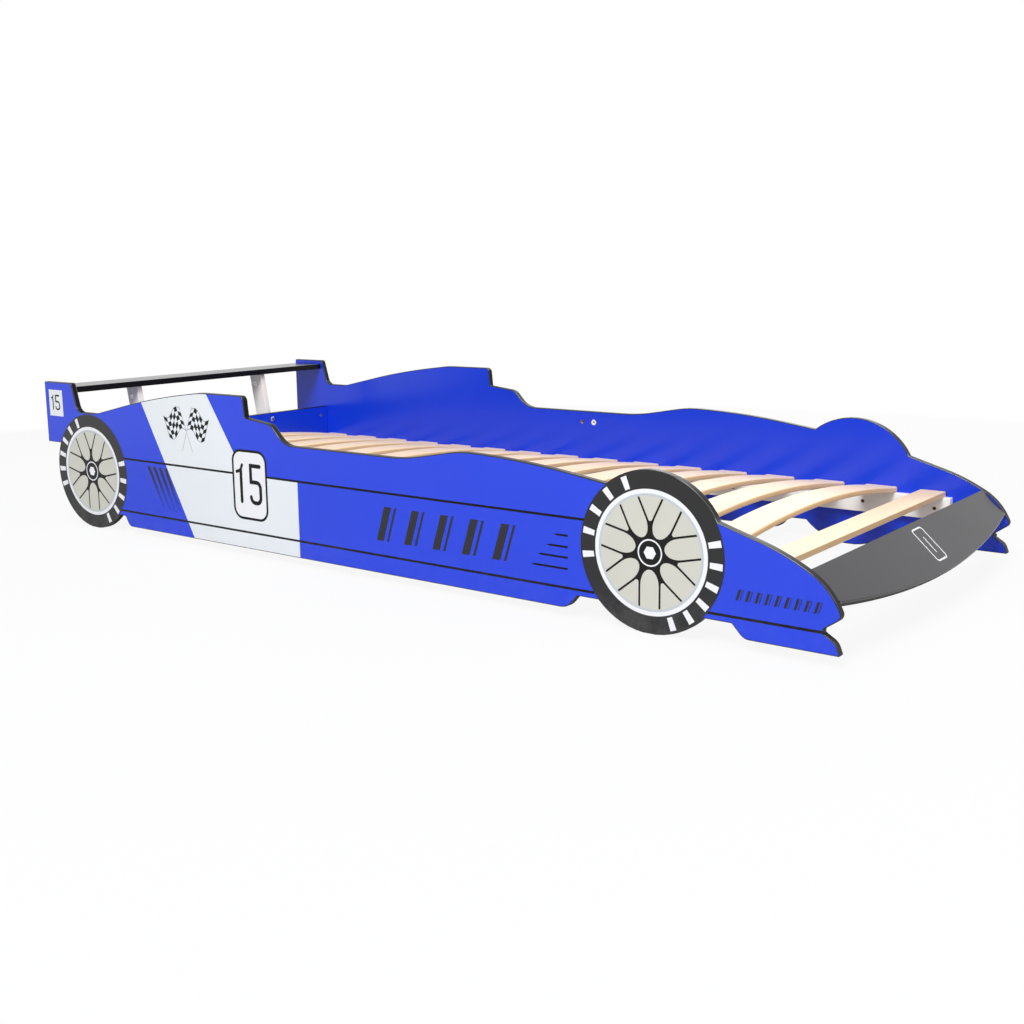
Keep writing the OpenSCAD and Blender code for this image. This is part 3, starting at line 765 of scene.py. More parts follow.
def slab(name, side, layer, outlines, material):
    """A thin slab of ink on a side board, from outlines of (along, up) points in millimetres."""
    sheet = flat_sheet(name, outlines)
    thicken(sheet, place=(BOARD_MIDDLE, side * (HALF_WIDTH - INK_ROOM - INK_LAYER), 0),
            turn=(math.radians(90), 0, 0), way=(0, side * INK_LAYER * (layer + 1), 0))
    coat(sheet, material)
    hand_over(sheet, side_names[side] + "_" + name, None)


def arc(centre, radius, start, end, steps):
    """Points on an arc, with its angles in degrees."""
    angles = (math.radians(start + (end - start) * k / steps) for k in range(steps + 1))
    return [(centre[0] + radius * math.cos(a), centre[1] + radius * math.sin(a)) for a in angles]


def circle(centre, radius, steps=120):
    return arc(centre, radius, 0, 360, steps)[:-1]


def rounded_box(left, bottom, right, top, radius, steps=8):
    corners = (((right - radius, top - radius), 0), ((left + radius, top - radius), 90),
               ((left + radius, bottom + radius), 180), ((right - radius, bottom + radius), 270))
    return [point for centre, angle in corners for point in arc(centre, radius, angle, angle + 90, steps)]


def rounded_frame(left, bottom, right, top, radius, line):
    """A rounded box and the smaller one inside it, which leave a line of one width between them."""
    return [rounded_box(left, bottom, right, top, radius),
            rounded_box(left + line, bottom + line, right - line, top - line, radius - line)]


def box_outline(left, bottom, right, top):
    return [(left, bottom), (right, bottom), (right, top), (left, top)]


def pen(path, width, ends=5):
    """Outline of a pen line of one width along a path, with round ends."""
    half = width / 2
    points = [Vector(point) for point in path]
    runs = [(b - a).normalized() for a, b in zip(points, points[1:])]
    sides = []
    for index, point in enumerate(points):
        before, after = runs[max(index - 1, 0)], runs[min(index, len(runs) - 1)]
        middle = (before + after).normalized()
        across = Vector((-middle.y, middle.x)) * half / max(middle.dot(after), 0.3)
        sides.append((point + across, point - across))
    left, right = [tuple(a) for a, b in sides], [tuple(b) for a, b in sides]
    heading = [math.degrees(math.atan2(run.y, run.x)) for run in (runs[0], runs[-1])]
    cap_end = arc(path[-1], half, heading[1] + 90, heading[1] - 90, ends)[1:-1]
    cap_start = arc(path[0], half, heading[0] - 90, heading[0] - 270, ends)[1:-1]
    return left + cap_end + right[::-1] + cap_start


# %% [markdown]
# ### The white field
# A slanted white field crosses the board behind the cockpit and widens under the upper stripe. It runs out
# to the board's rim above and below, so its shape comes from the board itself: the finished panel's own
# face is copied and cut along the slanting lines with the bisect tool.

# %% White field
STRIPE_UP = 196.5
FIELD_REAR = ((-704, 344), (-521, 18))
FIELD_FRONT = ((-453, 380), (-366, 250))
FIELD_END = -150
INSIDE_UP, INSIDE_LOW = (-500, 290), (-400, 120)
LARGE_FACE = 0.05        # square metres, much less than a side board's outer face has


def on_board(along, up):
    """A point in the bed's middle plane, from millimetres along the board and up from the floor."""
    return Vector((BOARD_MIDDLE + along * MM, 0, up * MM))


def bisect_away(piece, a, b, keep):
    """Cuts a flat piece along the line through a and b, and keeps the side where the point keep lies."""
    a, b, keep = on_board(*a), on_board(*b), on_board(*keep)
    across = (b - a).cross(Vector((0, 1, 0)))
    if across.dot(keep - a) < 0:
        across.negate()
    pick_all(piece)
    bpy.ops.mesh.bisect(plane_co=a, plane_no=across, clear_inner=True, use_fill=False)
    rest()


def board_face(side):
    """A copy of the finished panel's outer face, one layer of ink further out."""
    sheet = new_piece("field", panels[side].data.copy())
    hold(sheet)
    bpy.ops.mesh.customdata_custom_splitnormals_clear()
    pick(sheet, "FACE", lambda face: face.normal.y * side < 0.999 or face.calc_area() < LARGE_FACE)
    bpy.ops.mesh.delete(type="FACE")
    bpy.ops.mesh.select_all(action="SELECT")
    bpy.ops.transform.translate(value=(0, side * INK_LAYER, 0))
    rest()
    return sheet


def white_field(side):
    """The field above the upper stripe and the wider one below it, joined and made a slab."""
    upper, lower = board_face(side), board_face(side)
    for sheet, inside in ((upper, INSIDE_UP), (lower, INSIDE_LOW)):
        bisect_away(sheet, *FIELD_REAR, inside)
        bisect_away(sheet, (-900, STRIPE_UP), (0, STRIPE_UP), inside)
    bisect_away(upper, *FIELD_FRONT, INSIDE_UP)
    bisect_away(lower, (FIELD_END, 0), (FIELD_END, 300), INSIDE_LOW)
    hold(upper)
    lower.select_set(True)
    bpy.ops.object.join()
    field = bpy.context.object
    close_slab(field, (0, -side * INK_LAYER * 2, 0))
    coat(field, white_ink)
    hand_over(field, side_names[side] + "_white_field", None)
    print(field.name, [round(size / MM, 1) for size in field.dimensions], "mm")


for side in panels:
    white_field(side)

# %% [markdown]
# ### Stripes, vents and speed bars
# Two thin black stripes run along the board and make it look long and low. Between them, behind the
# cockpit, four slanted lines stand for cooling vents, and four tapering bars behind the front wheel give
# the side some speed. All of them are plain outlines, worked out from their ends.

# %% Stripes and bars
STRIPE_W = 5
LOW_STRIPE_UP = 59.5
BAR_W, BAR_END, BAR_POINT = 4, 585, 9
VENT_TOP, VENT_BOTTOM = 185, 78


def stripe(left, right, up):
    return box_outline(left, up - STRIPE_W / 2, right, up + STRIPE_W / 2)


def tapered(left, up):
    """A bar that ends in a short point at the left."""
    shoulder, low, high = left + BAR_POINT, up - BAR_W / 2, up + BAR_W / 2
    return [(left, up - 0.3), (shoulder, low), (BAR_END, low), (BAR_END, high), (shoulder, high),
            (left, up + 0.3)]


stripes = [stripe(-805, 625, STRIPE_UP), stripe(-815, 645, LOW_STRIPE_UP), stripe(878, 1097, LOW_STRIPE_UP)]
speed_bars = [tapered(left, up) for left, up in ((553, 161), (536, 139), (516, 118.5), (500, 96.5))]
vent_ends = ((-690, -632.5), (-667.5, -612.5), (-645, -592.5), (-622.5, -575))
vents = [[(top - 5, VENT_TOP), (foot - 3, VENT_BOTTOM), (foot + 4, VENT_BOTTOM), (top + 6, VENT_TOP)]
         for top, foot in vent_ends]
print(len(stripes), "stripes,", len(vents), "vents,", len(speed_bars), "bars")

# %% [markdown]
# The vents' ink is black at the top and fades into the board's blue towards the foot, so its colour follows
# the height above the floor.

# %% Fading ink
FADE_FROM, FADE_MOST = 150, 0.85
fading_ink, fading_tree, fading_shader, fading_place = start_material("Fading black print")
fade_up = wire(fading_tree, "SeparateXYZ", Vector=fading_place).outputs["Z"]
fade = remap(fading_tree, fade_up, FADE_FROM * MM, VENT_BOTTOM * MM, 0.0, FADE_MOST)
fading = use_group(fading_tree, film, Vector=fading_place, Colour=linear(15, 57, 210), Roughness=0.28)
faded = blend_colour(fading_tree, fade, linear(6, 7, 14), fading["Colour"])
finish_surface(fading_tree, fading_shader, faded, fading["Roughness"], fading["Height"], 0.12, 0.1 * MM)
print(fading_ink.name, "fades from", FADE_FROM, "to", VENT_BOTTOM, "mm up")

# %% [markdown]
# ### Slanted blocks
# Rows of slanted blocks stand along the side and at the nose. A thick and a thin stroke alternate, which
# gives the row a plain, quick rhythm.


# %% Slanted blocks
def slanted(left, width, bottom, top, lean):
    return [(left, bottom), (left + width, bottom), (left + width + lean, top), (left + lean, top)]


def block_row(left, right, bottom, top, count, thick, thin, gap, lean):
    """Pairs of a thick and a thin slanted stroke, spread evenly from left to right."""
    pair = thick + gap + thin
    step = (right - left - lean - pair) / (count - 1)
    starts = [left + k * step for k in range(count)]
    return [stroke for start in starts for stroke in (
        slanted(start, thick, bottom, top, lean), slanted(start + thick + gap, thin, bottom, top, lean))]


side_blocks = block_row(90, 462, 92, 167, count=5, thick=20, thin=6, gap=9, lean=24)
nose_blocks = block_row(935, 1093, 90, 110, count=9, thick=5, thin=1.8, gap=2.6, lean=6)
print(len(side_blocks), "strokes on the side,", len(nose_blocks), "at the nose")

# %% [markdown]
# ### Crossed chequered flags
# Two crossed chequered flags are a common sign of motor racing. A flag is a grid of six by five checks. Its
# columns ride on a wave, closer together where the cloth turns away, and its rows step down along the
# pole. The second flag is the first one mirrored about the middle.

# %% Flags
FLAG_MIDDLE = -532
FLAG_COLUMNS, FLAG_ROWS = 6, 5
FLAG_POLE_STEP = (4.0, -10.25)
FLAG_WIDTH, FLAG_SQUEEZE = 64, 2.4
FLAG_TOP, FLAG_WAVE = 322.25, 14.75
FLAG_START = -551.5
CHECK_STEPS = 3
POLE_FOOT, POLE_W = (FLAG_MIDDLE + 19, 235), 2.2
HEM_W = 0.9


def flag_point(column, row):
    """A corner of the grid, with columns counted from the pole and rows from the top."""
    along = FLAG_START - FLAG_WIDTH * column / FLAG_COLUMNS
    along -= FLAG_SQUEEZE * math.sin(2 * math.pi * column / FLAG_COLUMNS)
    up = FLAG_TOP + FLAG_WAVE * math.cos(math.pi * (column - 1) / 4)
    return (along + FLAG_POLE_STEP[0] * (row - 0.5), up + FLAG_POLE_STEP[1] * (row - 0.5))


def flag_row_line(start, steps, row):
    """Points along a row line from a column on, each a part of a column further."""
    return [flag_point(start + k / CHECK_STEPS, row) for k in range(steps + 1)]


def flag_check(column, row):
    return flag_row_line(column, CHECK_STEPS, row) + flag_row_line(column, CHECK_STEPS, row + 1)[::-1]


def mirrored(outlines, about):
    return [[(2 * about - along, up) for along, up in outline] for outline in outlines]


checks = [flag_check(column, row) for column in range(FLAG_COLUMNS) for row in range(FLAG_ROWS)
          if (column + row) % 2]
checks += mirrored(checks, FLAG_MIDDLE)
poles = [pen([flag_point(0, -0.6), POLE_FOOT], POLE_W)]
hem_paths = (flag_row_line(0, FLAG_COLUMNS * CHECK_STEPS, 0),
             flag_row_line(0, FLAG_COLUMNS * CHECK_STEPS, FLAG_ROWS),
             [flag_point(FLAG_COLUMNS, 0), flag_point(FLAG_COLUMNS, FLAG_ROWS)])
print(len(checks), "dark checks on two flags")

# %% [markdown]
# ### Number plates
# A tall rounded plate behind the cockpit and a small square one on the fin carry a plain number. The
# digits are pen lines with round ends, drawn from straight runs and quarter circles. The one's flick is a
# little thinner and overlaps the stem, so it lies a layer higher.

# %% Number plates
PLATE = (-370, 89.5, -250.5, 255.5)
PLATE_ROUND, PLATE_LINE = 29, 6
PLATE_NUMBER = {"one_left": -340, "five_left": -307, "bottom": 132, "size": 87, "width": 33, "line": 9.5}
FIN_PLATE = (-1107, 289, -1046, 359)
FIN_NUMBER = {"one_left": -1090, "five_left": -1078, "bottom": 307, "size": 37, "width": 17, "line": 4.4}


def digit_one(left, bottom, size):
    """The paths of a one: its short flick, and its stem that stands at the given left and bottom."""
    drop, reach, top = size * 0.2, size * 0.17, bottom + size
    flick = [(left - reach, top - drop), (left - 1, top - drop * 0.75), (left + 0.06 * size, top)]
    return flick, [(left, bottom), (left, bottom + size * 0.86)]


def digit_five(left, bottom, width, size):
    """The path of a five: a bar along the top, down the left, and a bowl with rounded corners."""
    bowl_top, round_r = bottom + size * 0.56, width * 0.4
    right = left + width
    bowl = (arc((right - round_r, bowl_top - round_r), round_r, 90, 0, 6)
            + arc((right - round_r, bottom + round_r), round_r, 0, -90, 6)
            + arc((left + round_r, bottom + round_r), round_r, -90, -180, 6))
    return [(right - 1, bottom + size), (left + 1, bottom + size), (left + 1, bowl_top)] + bowl


def plate_digits(one_left, five_left, bottom, size, width, line):
    """Outlines of the flick, the stem and the five."""
    flick, stem = digit_one(one_left, bottom, size)
    five = digit_five(five_left, bottom, width, size)
    return [pen(flick, line * 0.8)], [pen(stem, line)], [pen(five, line)]


def lay_number(side, title, plate, number):
    """A plate's number. On the left board it is mirrored about the plate's middle, to read rightly."""
    flick, stem, bowl = plate_digits(**number)
    for stroke, layer, outlines in (("_stem", 5, stem), ("_flick", 6, flick), ("_five", 5, bowl)):
        if side == LEFT:
            outlines = mirrored(outlines, (plate[0] + plate[2]) / 2)
        slab(title + stroke, side, layer, outlines, black_ink)


print("plates", PLATE[2] - PLATE[0], "and", FIN_PLATE[2] - FIN_PLATE[0], "mm wide")

# %% [markdown]
# ### The printed wheels
# The wheels are printed as well. A charcoal ring is the tyre, then come a white ring, a thin shaded one and
# a grey disc, and seven forked spokes lie on the disc. Between two neighbouring spokes the disc shows as a
# long window with a rounded inner end, and inside each fork as a narrow wedge. One closed outline runs
# round all seven spokes: along one window and round its end, across an arm's tip, and through the fork.

# %% Wheels
WHEEL_R, TYRE_R, SHADE_R, RIM_R = 152, 117, 109, 104.5
HUB_R, HUB_INNER_R, NUT_R = 25.4, 22.6, 12.8
SPOKES = 7
ARM_OFFSET, ARM_W, ARM_TIP = 21.2, 4.0, 104
WINDOW_MIDDLE, WINDOW_REACH, WINDOW_HALF, WINDOW_STEPS = 62, 31, 19.2, 12
FORK_ROUND = 4
rear_wheel, front_wheel = (-932.5, 151.4), (764, 151.4)
half_turn = math.pi / SPOKES


def polar(centre, axis_angle, out, across):
    """A point a way out along an angle and a way across it, counted anticlockwise."""
    ux, uy = math.cos(axis_angle), math.sin(axis_angle)
    return (centre[0] + out * ux - across * uy, centre[1] + out * uy + across * ux)


def tip_reach(across):
    """How far out the spokes end, at a way across."""
    return math.sqrt(ARM_TIP ** 2 - across ** 2)


def spider(centre):
    """Outline of all the spokes. Each turn of the loop draws one window and the fork after it."""
    outline = []
    outer = ARM_OFFSET + ARM_W / 2
    for spoke in range(SPOKES):
        window = math.pi / 2 + (2 * spoke + 1) * half_turn
        outline.append(polar(centre, window, tip_reach(WINDOW_HALF), -WINDOW_HALF))
        for k in range(WINDOW_STEPS + 1):
            t = -math.pi / 2 + math.pi * k / WINDOW_STEPS
            outline.append(polar(centre, window, WINDOW_MIDDLE - WINDOW_REACH * math.cos(t),
                                 WINDOW_HALF * math.sin(t)))
        outline.append(polar(centre, window, tip_reach(WINDOW_HALF), WINDOW_HALF))
        outline.append(polar(centre, window, tip_reach(outer), outer))
        fork = window + half_turn
        apex = outer / math.sin(half_turn) + FORK_ROUND / math.sin(half_turn)
        apex_centre = polar(centre, fork, apex, 0)
        opening = math.degrees(half_turn)
        back = math.degrees(fork) + 180
        outline += arc(apex_centre, FORK_ROUND, back + 90 - opening, back - 90 + opening, 6)
        outline.append(polar(centre, fork + half_turn, tip_reach(outer), -outer))
    return outline


def ring(centre, outer, inner):
    return [circle(centre, outer), circle(centre, inner)]


def tyre_block(centre, angle, width=5.0, inner=121, outer=146):
    """A white block on the tyre, curved with it."""
    return (arc(centre, outer, angle - width / 2, angle + width / 2, 3)
            + arc(centre, inner, angle + width / 2, angle - width / 2, 3))


def block_angles(first, last, count):
    return [first + (last - first) * k / (count - 1) for k in range(count)]


front_blocks = block_angles(188, 113, 5) + block_angles(13.5, -69.7, 6)
rear_blocks = block_angles(198.8, 113.4, 6) + block_angles(13.1, -62.7, 5)
print("wheels", 2 * WHEEL_R, "mm across with", SPOKES, "spokes")

# %% [markdown]
# ### Laying the prints
# Both boards carry the same prints, each with its nose end at the nose. Only the numbers are turned round
# on the left board, because a mirrored number would read backwards. The two wheels differ only in where
# the white blocks lie on their tyres.


# %% Lay all the prints on both boards
def lay_wheel(side, title, centre, angles):
    """All the prints of one wheel, with white blocks at the given angles on its tyre."""
    slab(title + "_tyre", side, 3, ring(centre, WHEEL_R - RIM_EASE / MM, TYRE_R), charcoal_ink)
    slab(title + "_rim_ring", side, 3, ring(centre, TYRE_R, SHADE_R), ring_ink)
    slab(title + "_rim_shade", side, 3, ring(centre, SHADE_R, RIM_R), shade_ink)
    slab(title + "_rim_disc", side, 3, [circle(centre, RIM_R)], rim_ink)
    slab(title + "_spokes", side, 4, [spider(centre)], spoke_ink)
    slab(title + "_hub_ring", side, 5, ring(centre, HUB_R, HUB_INNER_R), ring_ink)
    slab(title + "_wheel_nut", side, 5, [circle(centre, NUT_R, 6)], ring_ink)
    slab(title + "_tyre_blocks", side, 4, [tyre_block(centre, angle) for angle in angles], ring_ink)


for side in panels:
    slab("racing_stripes", side, 2, stripes, black_ink)
    slab("speed_bars", side, 2, speed_bars, black_ink)
    slab("vent_lines", side, 2, vents, fading_ink)
    slab("side_blocks", side, 2, side_blocks, charcoal_ink)
    slab("nose_blocks", side, 2, nose_blocks, charcoal_ink)
    slab("flag_pole_rear", side, 2, poles, pole_ink)
    slab("flag_pole_front", side, 3, mirrored(poles, FLAG_MIDDLE), pole_ink)
    slab("flag_checks", side, 4, checks, black_ink)
    for number, path in enumerate(hem_paths):
        hem = [pen(path, HEM_W)]
        slab("flag_hem_rear_" + str(number), side, 5, hem, black_ink)
        slab("flag_hem_front_" + str(number), side, 5, mirrored(hem, FLAG_MIDDLE), black_ink)
    slab("fin_plate", side, 2, [box_outline(*FIN_PLATE)], white_ink)
    slab("number_plate", side, 3, [rounded_box(*PLATE, PLATE_ROUND)], ring_ink)
    slab("number_plate_line", side, 4, rounded_frame(*PLATE, PLATE_ROUND, PLATE_LINE), black_ink)
    lay_number(side, "number", PLATE, PLATE_NUMBER)
    lay_number(side, "fin_number", FIN_PLATE, FIN_NUMBER)
    lay_wheel(side, "front", front_wheel, front_blocks)
    lay_wheel(side, "rear", rear_wheel, rear_blocks)
print(len(made_pieces), "pieces so far")

# %% [markdown]
# ## The headboard and the wing
# Both are plain boards between the side boards. A block at the node's place gets small rounded edges, and
# its faces and edges their paints. The wing is all black, and glossy enough to mirror the room. Cam locks
# draw both boards against the side boards, in round pockets in the headboard's front face and under the
# wing.


# %% Headboard
def board_between(node, easing):
    """A block at a node's place with eased edges, and the node's two corners."""
    low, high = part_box(node)
    piece = block(node, low, high)
    ease(piece, easing)
    return piece, low, high


headboard, low, high = board_between("headboard", 1.2 * MM)
coat(headboard, blue_paint, edge_paint)
paint_faces(headboard, 1, lambda face: abs(face.normal.x) < 0.999)
for cam_low, cam_high in solids_of("headboard_cams"):
    centre = (cam_low + cam_high) / 2
    centre.x = high.x
    pocket(headboard, centre, (cam_high.z - cam_low.z) / 2, 2 * (cam_high.x - cam_low.x) + FIT_GAP, "X")
soften(headboard)
hand_over(headboard, "headboard_panel", "board_blue", "headboard")
print(headboard.name, [round(size / MM) for size in high - low], "mm")

# %% Rear wing
wing, low, high = board_between("rear_wing", 1.5 * MM)
coat(wing, wing_paint, wing_edge_paint)
paint_faces(wing, 1, lambda face: abs(face.normal.z) < 0.5)
wing_cams = solids_of("wing_cams")
cam_low, cam_high = wing_cams[0]
CAM_R, CAM_DEEP = (cam_high.x - cam_low.x) / 2, cam_high.z - cam_low.z
for cam_low, cam_high in wing_cams:
    centre = (cam_low + cam_high) / 2
    centre.z = cam_low.z
    pocket(wing, centre, CAM_R, 2 * (CAM_DEEP + FIT_GAP), "Z")
soften(wing)
hand_over(wing, "rear_wing_panel", "board_black", "rear_wing")
print(wing.name, [round(size / MM) for size in high - low], "mm")

# %% [markdown]
# ## The struts
# Each strut leans forward from the wing to the headboard's rear face, and its foot stands flush against
# that face. A block is made at the top, its lower face is slid forward to the knee, and the foot is
# extruded down from it, with its rear edge still leaning. Its right-hand side has two round pockets, one
# for the cam lock that holds the wing and one for the barrel nut that the bolt in the headboard pulls on.

# %% Struts
STRUT_DEPTH = 49 * MM
KNEE_RISE = 1 * MM
STRUT_EASE = 1.6 * MM


def strut(node):
    """A leaning post with an upright front to its foot."""
    low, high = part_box(node)
    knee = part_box("headboard")[1].z + KNEE_RISE
    lean = (high.x - low.x - STRUT_DEPTH) / (high.z - knee)
    piece = block(node, (low.x, low.y, knee), (low.x + STRUT_DEPTH, high.y, high.z))
    pick(piece, "FACE", lambda face: face.normal.z < -0.9)
    bpy.ops.transform.translate(value=(lean * (high.z - knee), 0, 0))
    bpy.ops.mesh.extrude_region_move(TRANSFORM_OT_translate={"value": (0, 0, low.z - knee)})
    rest()
    pick(piece, "EDGE", lambda edge: all(v.co.z < low.z + NEAR and v.co.x < high.x - NEAR
                                         for v in edge.verts))
    bpy.ops.transform.translate(value=(lean * (knee - low.z), 0, 0))
    rest()
    tidy_normals(piece)
    ease(piece, STRUT_EASE)
    return piece


for name, *fittings in zip(("right_wing_strut", "left_wing_strut"), from_right("strut_cams"),
                           from_right("strut_barrel_nuts")):
    piece = strut(name)
    coat(piece, white_paint)
    open_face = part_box(name)[0].y
    for low, high in fittings:
        centre = (low + high) / 2
        centre.y = open_face
        pocket(piece, centre, (high.x - low.x) / 2, 2 * (high.y - open_face + FIT_GAP), "Y")
    soften(piece)
    hand_over(piece, name + "_post", "wood_white", name)
    print(piece.name, "has", len(piece.data.polygons), "faces")

# %% [markdown]
# ## The nose board
# The nose board slopes down between the side boards' noses, and its front edge bows out. As with the side
# boards, its top face comes from the construction: it is joined into one face, extruded through the
# board's thickness along its own normal, and its edges are eased, all but those at the side boards. Its
# cam locks sit in round pockets in the underside, square to the slope.

# %% Nose board
NOSE_T = 16 * MM
NOSE_EASE = 3.2 * MM


def nose_panel():
    """The board, and the direction that its top face looks in."""
    panel = copy_node("nose_board")
    slope = max(panel.data.polygons, key=lambda face: face.normal.z * face.area).normal.copy()
    keep_one_face(panel, lambda face: face.normal.dot(slope) < 0.999)
    pick_all(panel)
    bpy.ops.mesh.extrude_region_move(TRANSFORM_OT_translate={"value": slope * -NOSE_T})
    rest()
    tidy_normals(panel)
    ease(panel, NOSE_EASE, 4, lambda edge: edge.calc_face_angle(0) > math.radians(40)
         and min(abs(vert.co.y) for vert in edge.verts) < HALF_INNER - NEAR)
    return panel, slope


nose, nose_slope = nose_panel()
coat_board(nose, grey_paint, nose_slope)
nose_angle = math.acos(nose_slope.z)
underside = min(vert.co.dot(nose_slope) for vert in nose.data.vertices)
for cam_low, cam_high in solids_of("nose_cams"):
    centre = (cam_low + cam_high) / 2
    centre += nose_slope * (underside - centre.dot(nose_slope))
    cutter = round_cutter((0, 0, 0), CAM_R + FIT_GAP, 2 * (CAM_DEEP + FIT_GAP), "Z")
    cutter.data.transform(Matrix.Translation(centre) @ Matrix.Rotation(nose_angle, 4, "Y"))
    cut(nose, cutter)
soften(nose)
hand_over(nose, "nose_panel", "board_grey", "nose_board")
print("nose board slopes", round(math.degrees(nose_angle), 1), "degrees")

# %% [markdown]
# A small white plate outline with an upright one in it is printed on the nose board, off its middle. It is
# drawn flat, turned to the board's slope and laid on its top face.

# %% Nose mark
MARK = (13, -20, 92, 33)
MARK_ROUND, MARK_LINE = 9, 3.6
MARK_ONE = [(37, 6), (72, 5)]
nose_low, nose_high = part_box("nose_board")
top_edge = Vector((nose_low.x + NOSE_T * math.sin(nose_angle), 0, nose_high.z))
for title, outlines in (("nose_plate_line", rounded_frame(*MARK, MARK_ROUND, MARK_LINE)),
                        ("nose_plate_one", [pen(MARK_ONE, MARK_LINE)])):
    mark = flat_sheet(title, outlines)
    thicken(mark, place=top_edge + nose_slope * INK_LAYER, turn=(0, nose_angle, 0),
            way=nose_slope * -INK_ROOM)
    coat(mark, ring_ink)
    hand_over(mark, title, None)
    print(mark.name, [round(size / MM, 1) for size in mark.dimensions], "mm")

# %% [markdown]
# ## The rails
# A white rail runs along each side board under the slats. A block with rounded edges gives it, and each
# screw sits in a countersunk hole, cut with a cone.

# %% Rails
RAIL_EASE = 2.0 * MM
SCREW_HEAD_R, SCREW_HEAD_H, SCREW_R = 4 * MM, 2.8 * MM, 2 * MM
SINK_GAP = 0.5 * MM
rail_screws = solids_of("rail_screws")


def sink_cutter(place, side):
    """A cone that opens towards the bed's middle, with room round the screw's head."""
    rest()
    bpy.ops.mesh.primitive_cone_add(vertices=32, radius1=SCREW_R + SINK_GAP,
                                    radius2=SCREW_HEAD_R + SINK_GAP, depth=SCREW_HEAD_H,
                                    location=(place.x, place.y + side * SCREW_HEAD_H / 2, place.z),
                                    rotation=(side * math.radians(90), 0, 0))
    cutter = bpy.context.object
    bpy.ops.object.transform_apply(location=True, rotation=True, scale=True)
    coat(cutter, white_paint)
    return cutter


for side in side_names:
    name = side_names[side] + "_side_rail"
    rail, low, high = board_between(name, RAIL_EASE)
    coat(rail, white_paint)
    places = [(screw_low + screw_high) / 2 for screw_low, screw_high in rail_screws]
    for place in places:
        if place.y * side > 0:
            place.y = low.y if side == LEFT else high.y
            cut(rail, sink_cutter(place, side))
    soften(rail)
    hand_over(rail, name + "_lath", "wood_white", name)
    print(rail.name, "is", round((high.x - low.x) / MM), "mm long")

# %% [markdown]
# The screws keep their construction solids, merged into one copy, and each head gets its cross recess from
# two crossed blocks that cut in together.

# %% Rail screws
CROSS_SPAN, CROSS_W, CROSS_DEEP = 4.6 * MM, 1.1 * MM, 1.6 * MM
dark_steel = metal("Dark screw", (96, 74, 58), 0.4)


def cross_cutter(head):
    """Two crossed blocks round the middle of a screw's head."""
    long, thin = CROSS_SPAN / 2, CROSS_W / 2
    bars = [block("cross", head - Vector((x, CROSS_DEEP, z)), head + Vector((x, CROSS_DEEP, z)))
            for x, z in ((long, thin), (thin, long))]
    apply_modifier(bars[0], "BOOLEAN", operation="UNION", solver="EXACT", object=bars[1])
    bpy.data.objects.remove(bars[1])
    coat(bars[0], dark_steel)
    return bars[0]


screws = copy_node("rail_screws")
tidy_normals(screws)
coat(screws, dark_steel)
for screw_low, screw_high in rail_screws:
    head = (screw_low + screw_high) / 2
    head.y = screw_low.y if head.y > 0 else screw_high.y
    cut(screws, cross_cutter(head))
soften(screws)
hand_over(screws, "rail_screw_set", "screw_dark", "rail_screws")
print(len(rail_screws), "screws with cross recesses")

# %% [markdown]
# ## The slats
# A sprung slat is bent in a press, so it rises in one even arc and its ends lie level on the rails. It
# could be a bent block, but a slat has one cross-section from end to end. So the section is drawn once, a
# flat face with rounded corners, and carried along: a level end, a spin through the arc, and a level end
# again. Fifteen copies lie in their nodes' places.

# %% Slats
SLAT_ROUND = 4 * MM
SLAT_T = 13 * MM
ARC_STEPS = 28
slat_nodes = sorted(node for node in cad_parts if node.startswith("slat_"))
slat_low, slat_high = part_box(slat_nodes[0])
rail_low, rail_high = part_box("right_side_rail")
rail_reach = HALF_INNER - (rail_high.y - rail_low.y)
crown = slat_high.z - slat_low.z - SLAT_T
bend_r = (rail_reach ** 2 + crown ** 2) / (2 * crown)
bend = math.asin(rail_reach / bend_r)
bend_middle = slat_low.z + crown - bend_r


def sweep_slat(low, high):
    """One slat between the two corners of its node."""
    rest()
    middle = (low.x + high.x) / 2
    bpy.ops.mesh.primitive_plane_add(size=1, rotation=(math.radians(90), 0, 0),
                                     location=(middle, low.y, low.z + SLAT_T / 2))
    piece = bpy.context.object
    piece.scale = (high.x - low.x, SLAT_T, 1)
    bpy.ops.object.transform_apply(location=True, rotation=True, scale=True)
    pick(piece, "VERT", lambda vert: True)
    bpy.ops.mesh.bevel(offset=SLAT_ROUND, segments=4, affect="VERTICES")
    bpy.ops.mesh.select_mode(type="FACE")
    bpy.ops.mesh.select_all(action="SELECT")
    level = -rail_reach - low.y
    bpy.ops.mesh.extrude_region_move(TRANSFORM_OT_translate={"value": (0, level, 0)})
    bpy.ops.transform.rotate(value=-bend, orient_axis="X", center_override=(middle, -rail_reach, low.z))
    bpy.ops.mesh.spin(steps=ARC_STEPS, angle=2 * bend, center=(middle, 0, bend_middle), axis=(1, 0, 0))
    bpy.ops.mesh.extrude_region_move(TRANSFORM_OT_translate={"value": (0, level, 0)})
    bpy.ops.transform.rotate(value=-bend, orient_axis="X", center_override=(middle, -low.y, low.z))
    rest()
    tidy_normals(piece)
    return piece


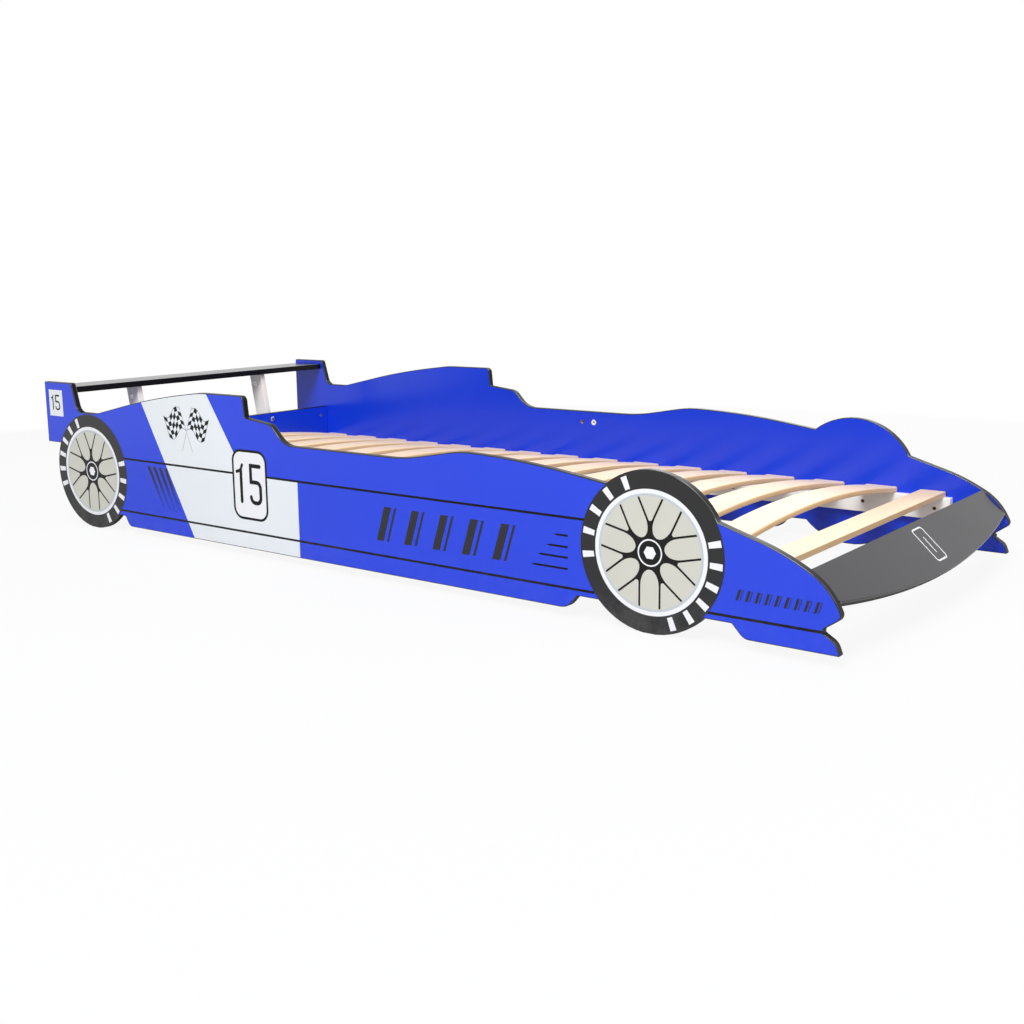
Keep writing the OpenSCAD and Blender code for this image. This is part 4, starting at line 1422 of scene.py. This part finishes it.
def mark_plies(piece, low):
    """Keeps on each vertex how far up through the slat's thickness it lies, from 0 to 1."""
    ply = piece.data.attributes.new("ply", "FLOAT", "POINT")
    for vert, mark in zip(piece.data.vertices, ply.data):
        if abs(vert.co.y) < rail_reach:
            up = math.hypot(vert.co.y, vert.co.z - bend_middle) - bend_r
        else:
            up = vert.co.z - low.z
        mark.value = min(max(up / SLAT_T, 0), 1)


first_slat = sweep_slat(slat_low, slat_high)
print("slat reaches", [round(size / MM, 2) for size in first_slat.dimensions], "mm")
mark_plies(first_slat, slat_low)
soften(first_slat, 50)
for node in slat_nodes:
    slat = new_piece("slat", first_slat.data.copy())
    slat.data.transform(Matrix.Translation(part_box(node)[0] - slat_low))
    coat(slat, birch)
    hand_over(slat, node + "_spring", "slat_birch", node)
bpy.data.objects.remove(first_slat)
print(len(slat_nodes), "sprung slats")

# %% [markdown]
# The slat at the foot is narrower and flat, so a block with eased edges gives it. Its plies lie level.

# %% Foot slat
foot, low, high = board_between("foot_slat", 1.2 * MM)
foot_ply = foot.data.attributes.new("ply", "FLOAT", "POINT")
for vert, mark in zip(foot.data.vertices, foot_ply.data):
    mark.value = (vert.co.z - low.z) / (high.z - low.z)
soften(foot)
coat(foot, yellow_birch)
hand_over(foot, "foot_slat_lath", "foot_birch", "foot_slat")
print(foot.name, [round(size / MM, 1) for size in high - low], "mm")

# %% [markdown]
# ## The fittings
# The small fittings keep their construction solids, which already have the right shape, and get zinc, beech
# and plastic finishes.

# %% Fittings
zinc = metal("Zinc plating", (200, 202, 204), 0.3)
plastic = painted("White plastic", (240, 240, 236), 0.35, ripple=900.0, dusty=0)
finishes = {
    zinc: ("headboard_cams", "headboard_cam_bolts", "wing_cams", "wing_cam_bolts", "strut_cams",
           "strut_cam_bolts", "strut_bolts", "strut_barrel_nuts", "nose_cams", "nose_cam_bolts"),
    beech: ("headboard_dowels", "wing_dowels", "strut_dowels", "nose_dowels"),
    plastic: ("side_sleeves",),
}
for material, nodes in finishes.items():
    for node in nodes:
        coat(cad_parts[node], material)
    print(material.name, "on", len(nodes), "nodes")

# %% [markdown]
# ## The bed's box
# The box round everything that is shown, the floor apart, is worked out, and the number of dressed
# pieces is printed. The dressed bed has to stay inside the construction's own box.

# %% Sizes and finish
low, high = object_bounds()
print(len(made_pieces), "pieces")
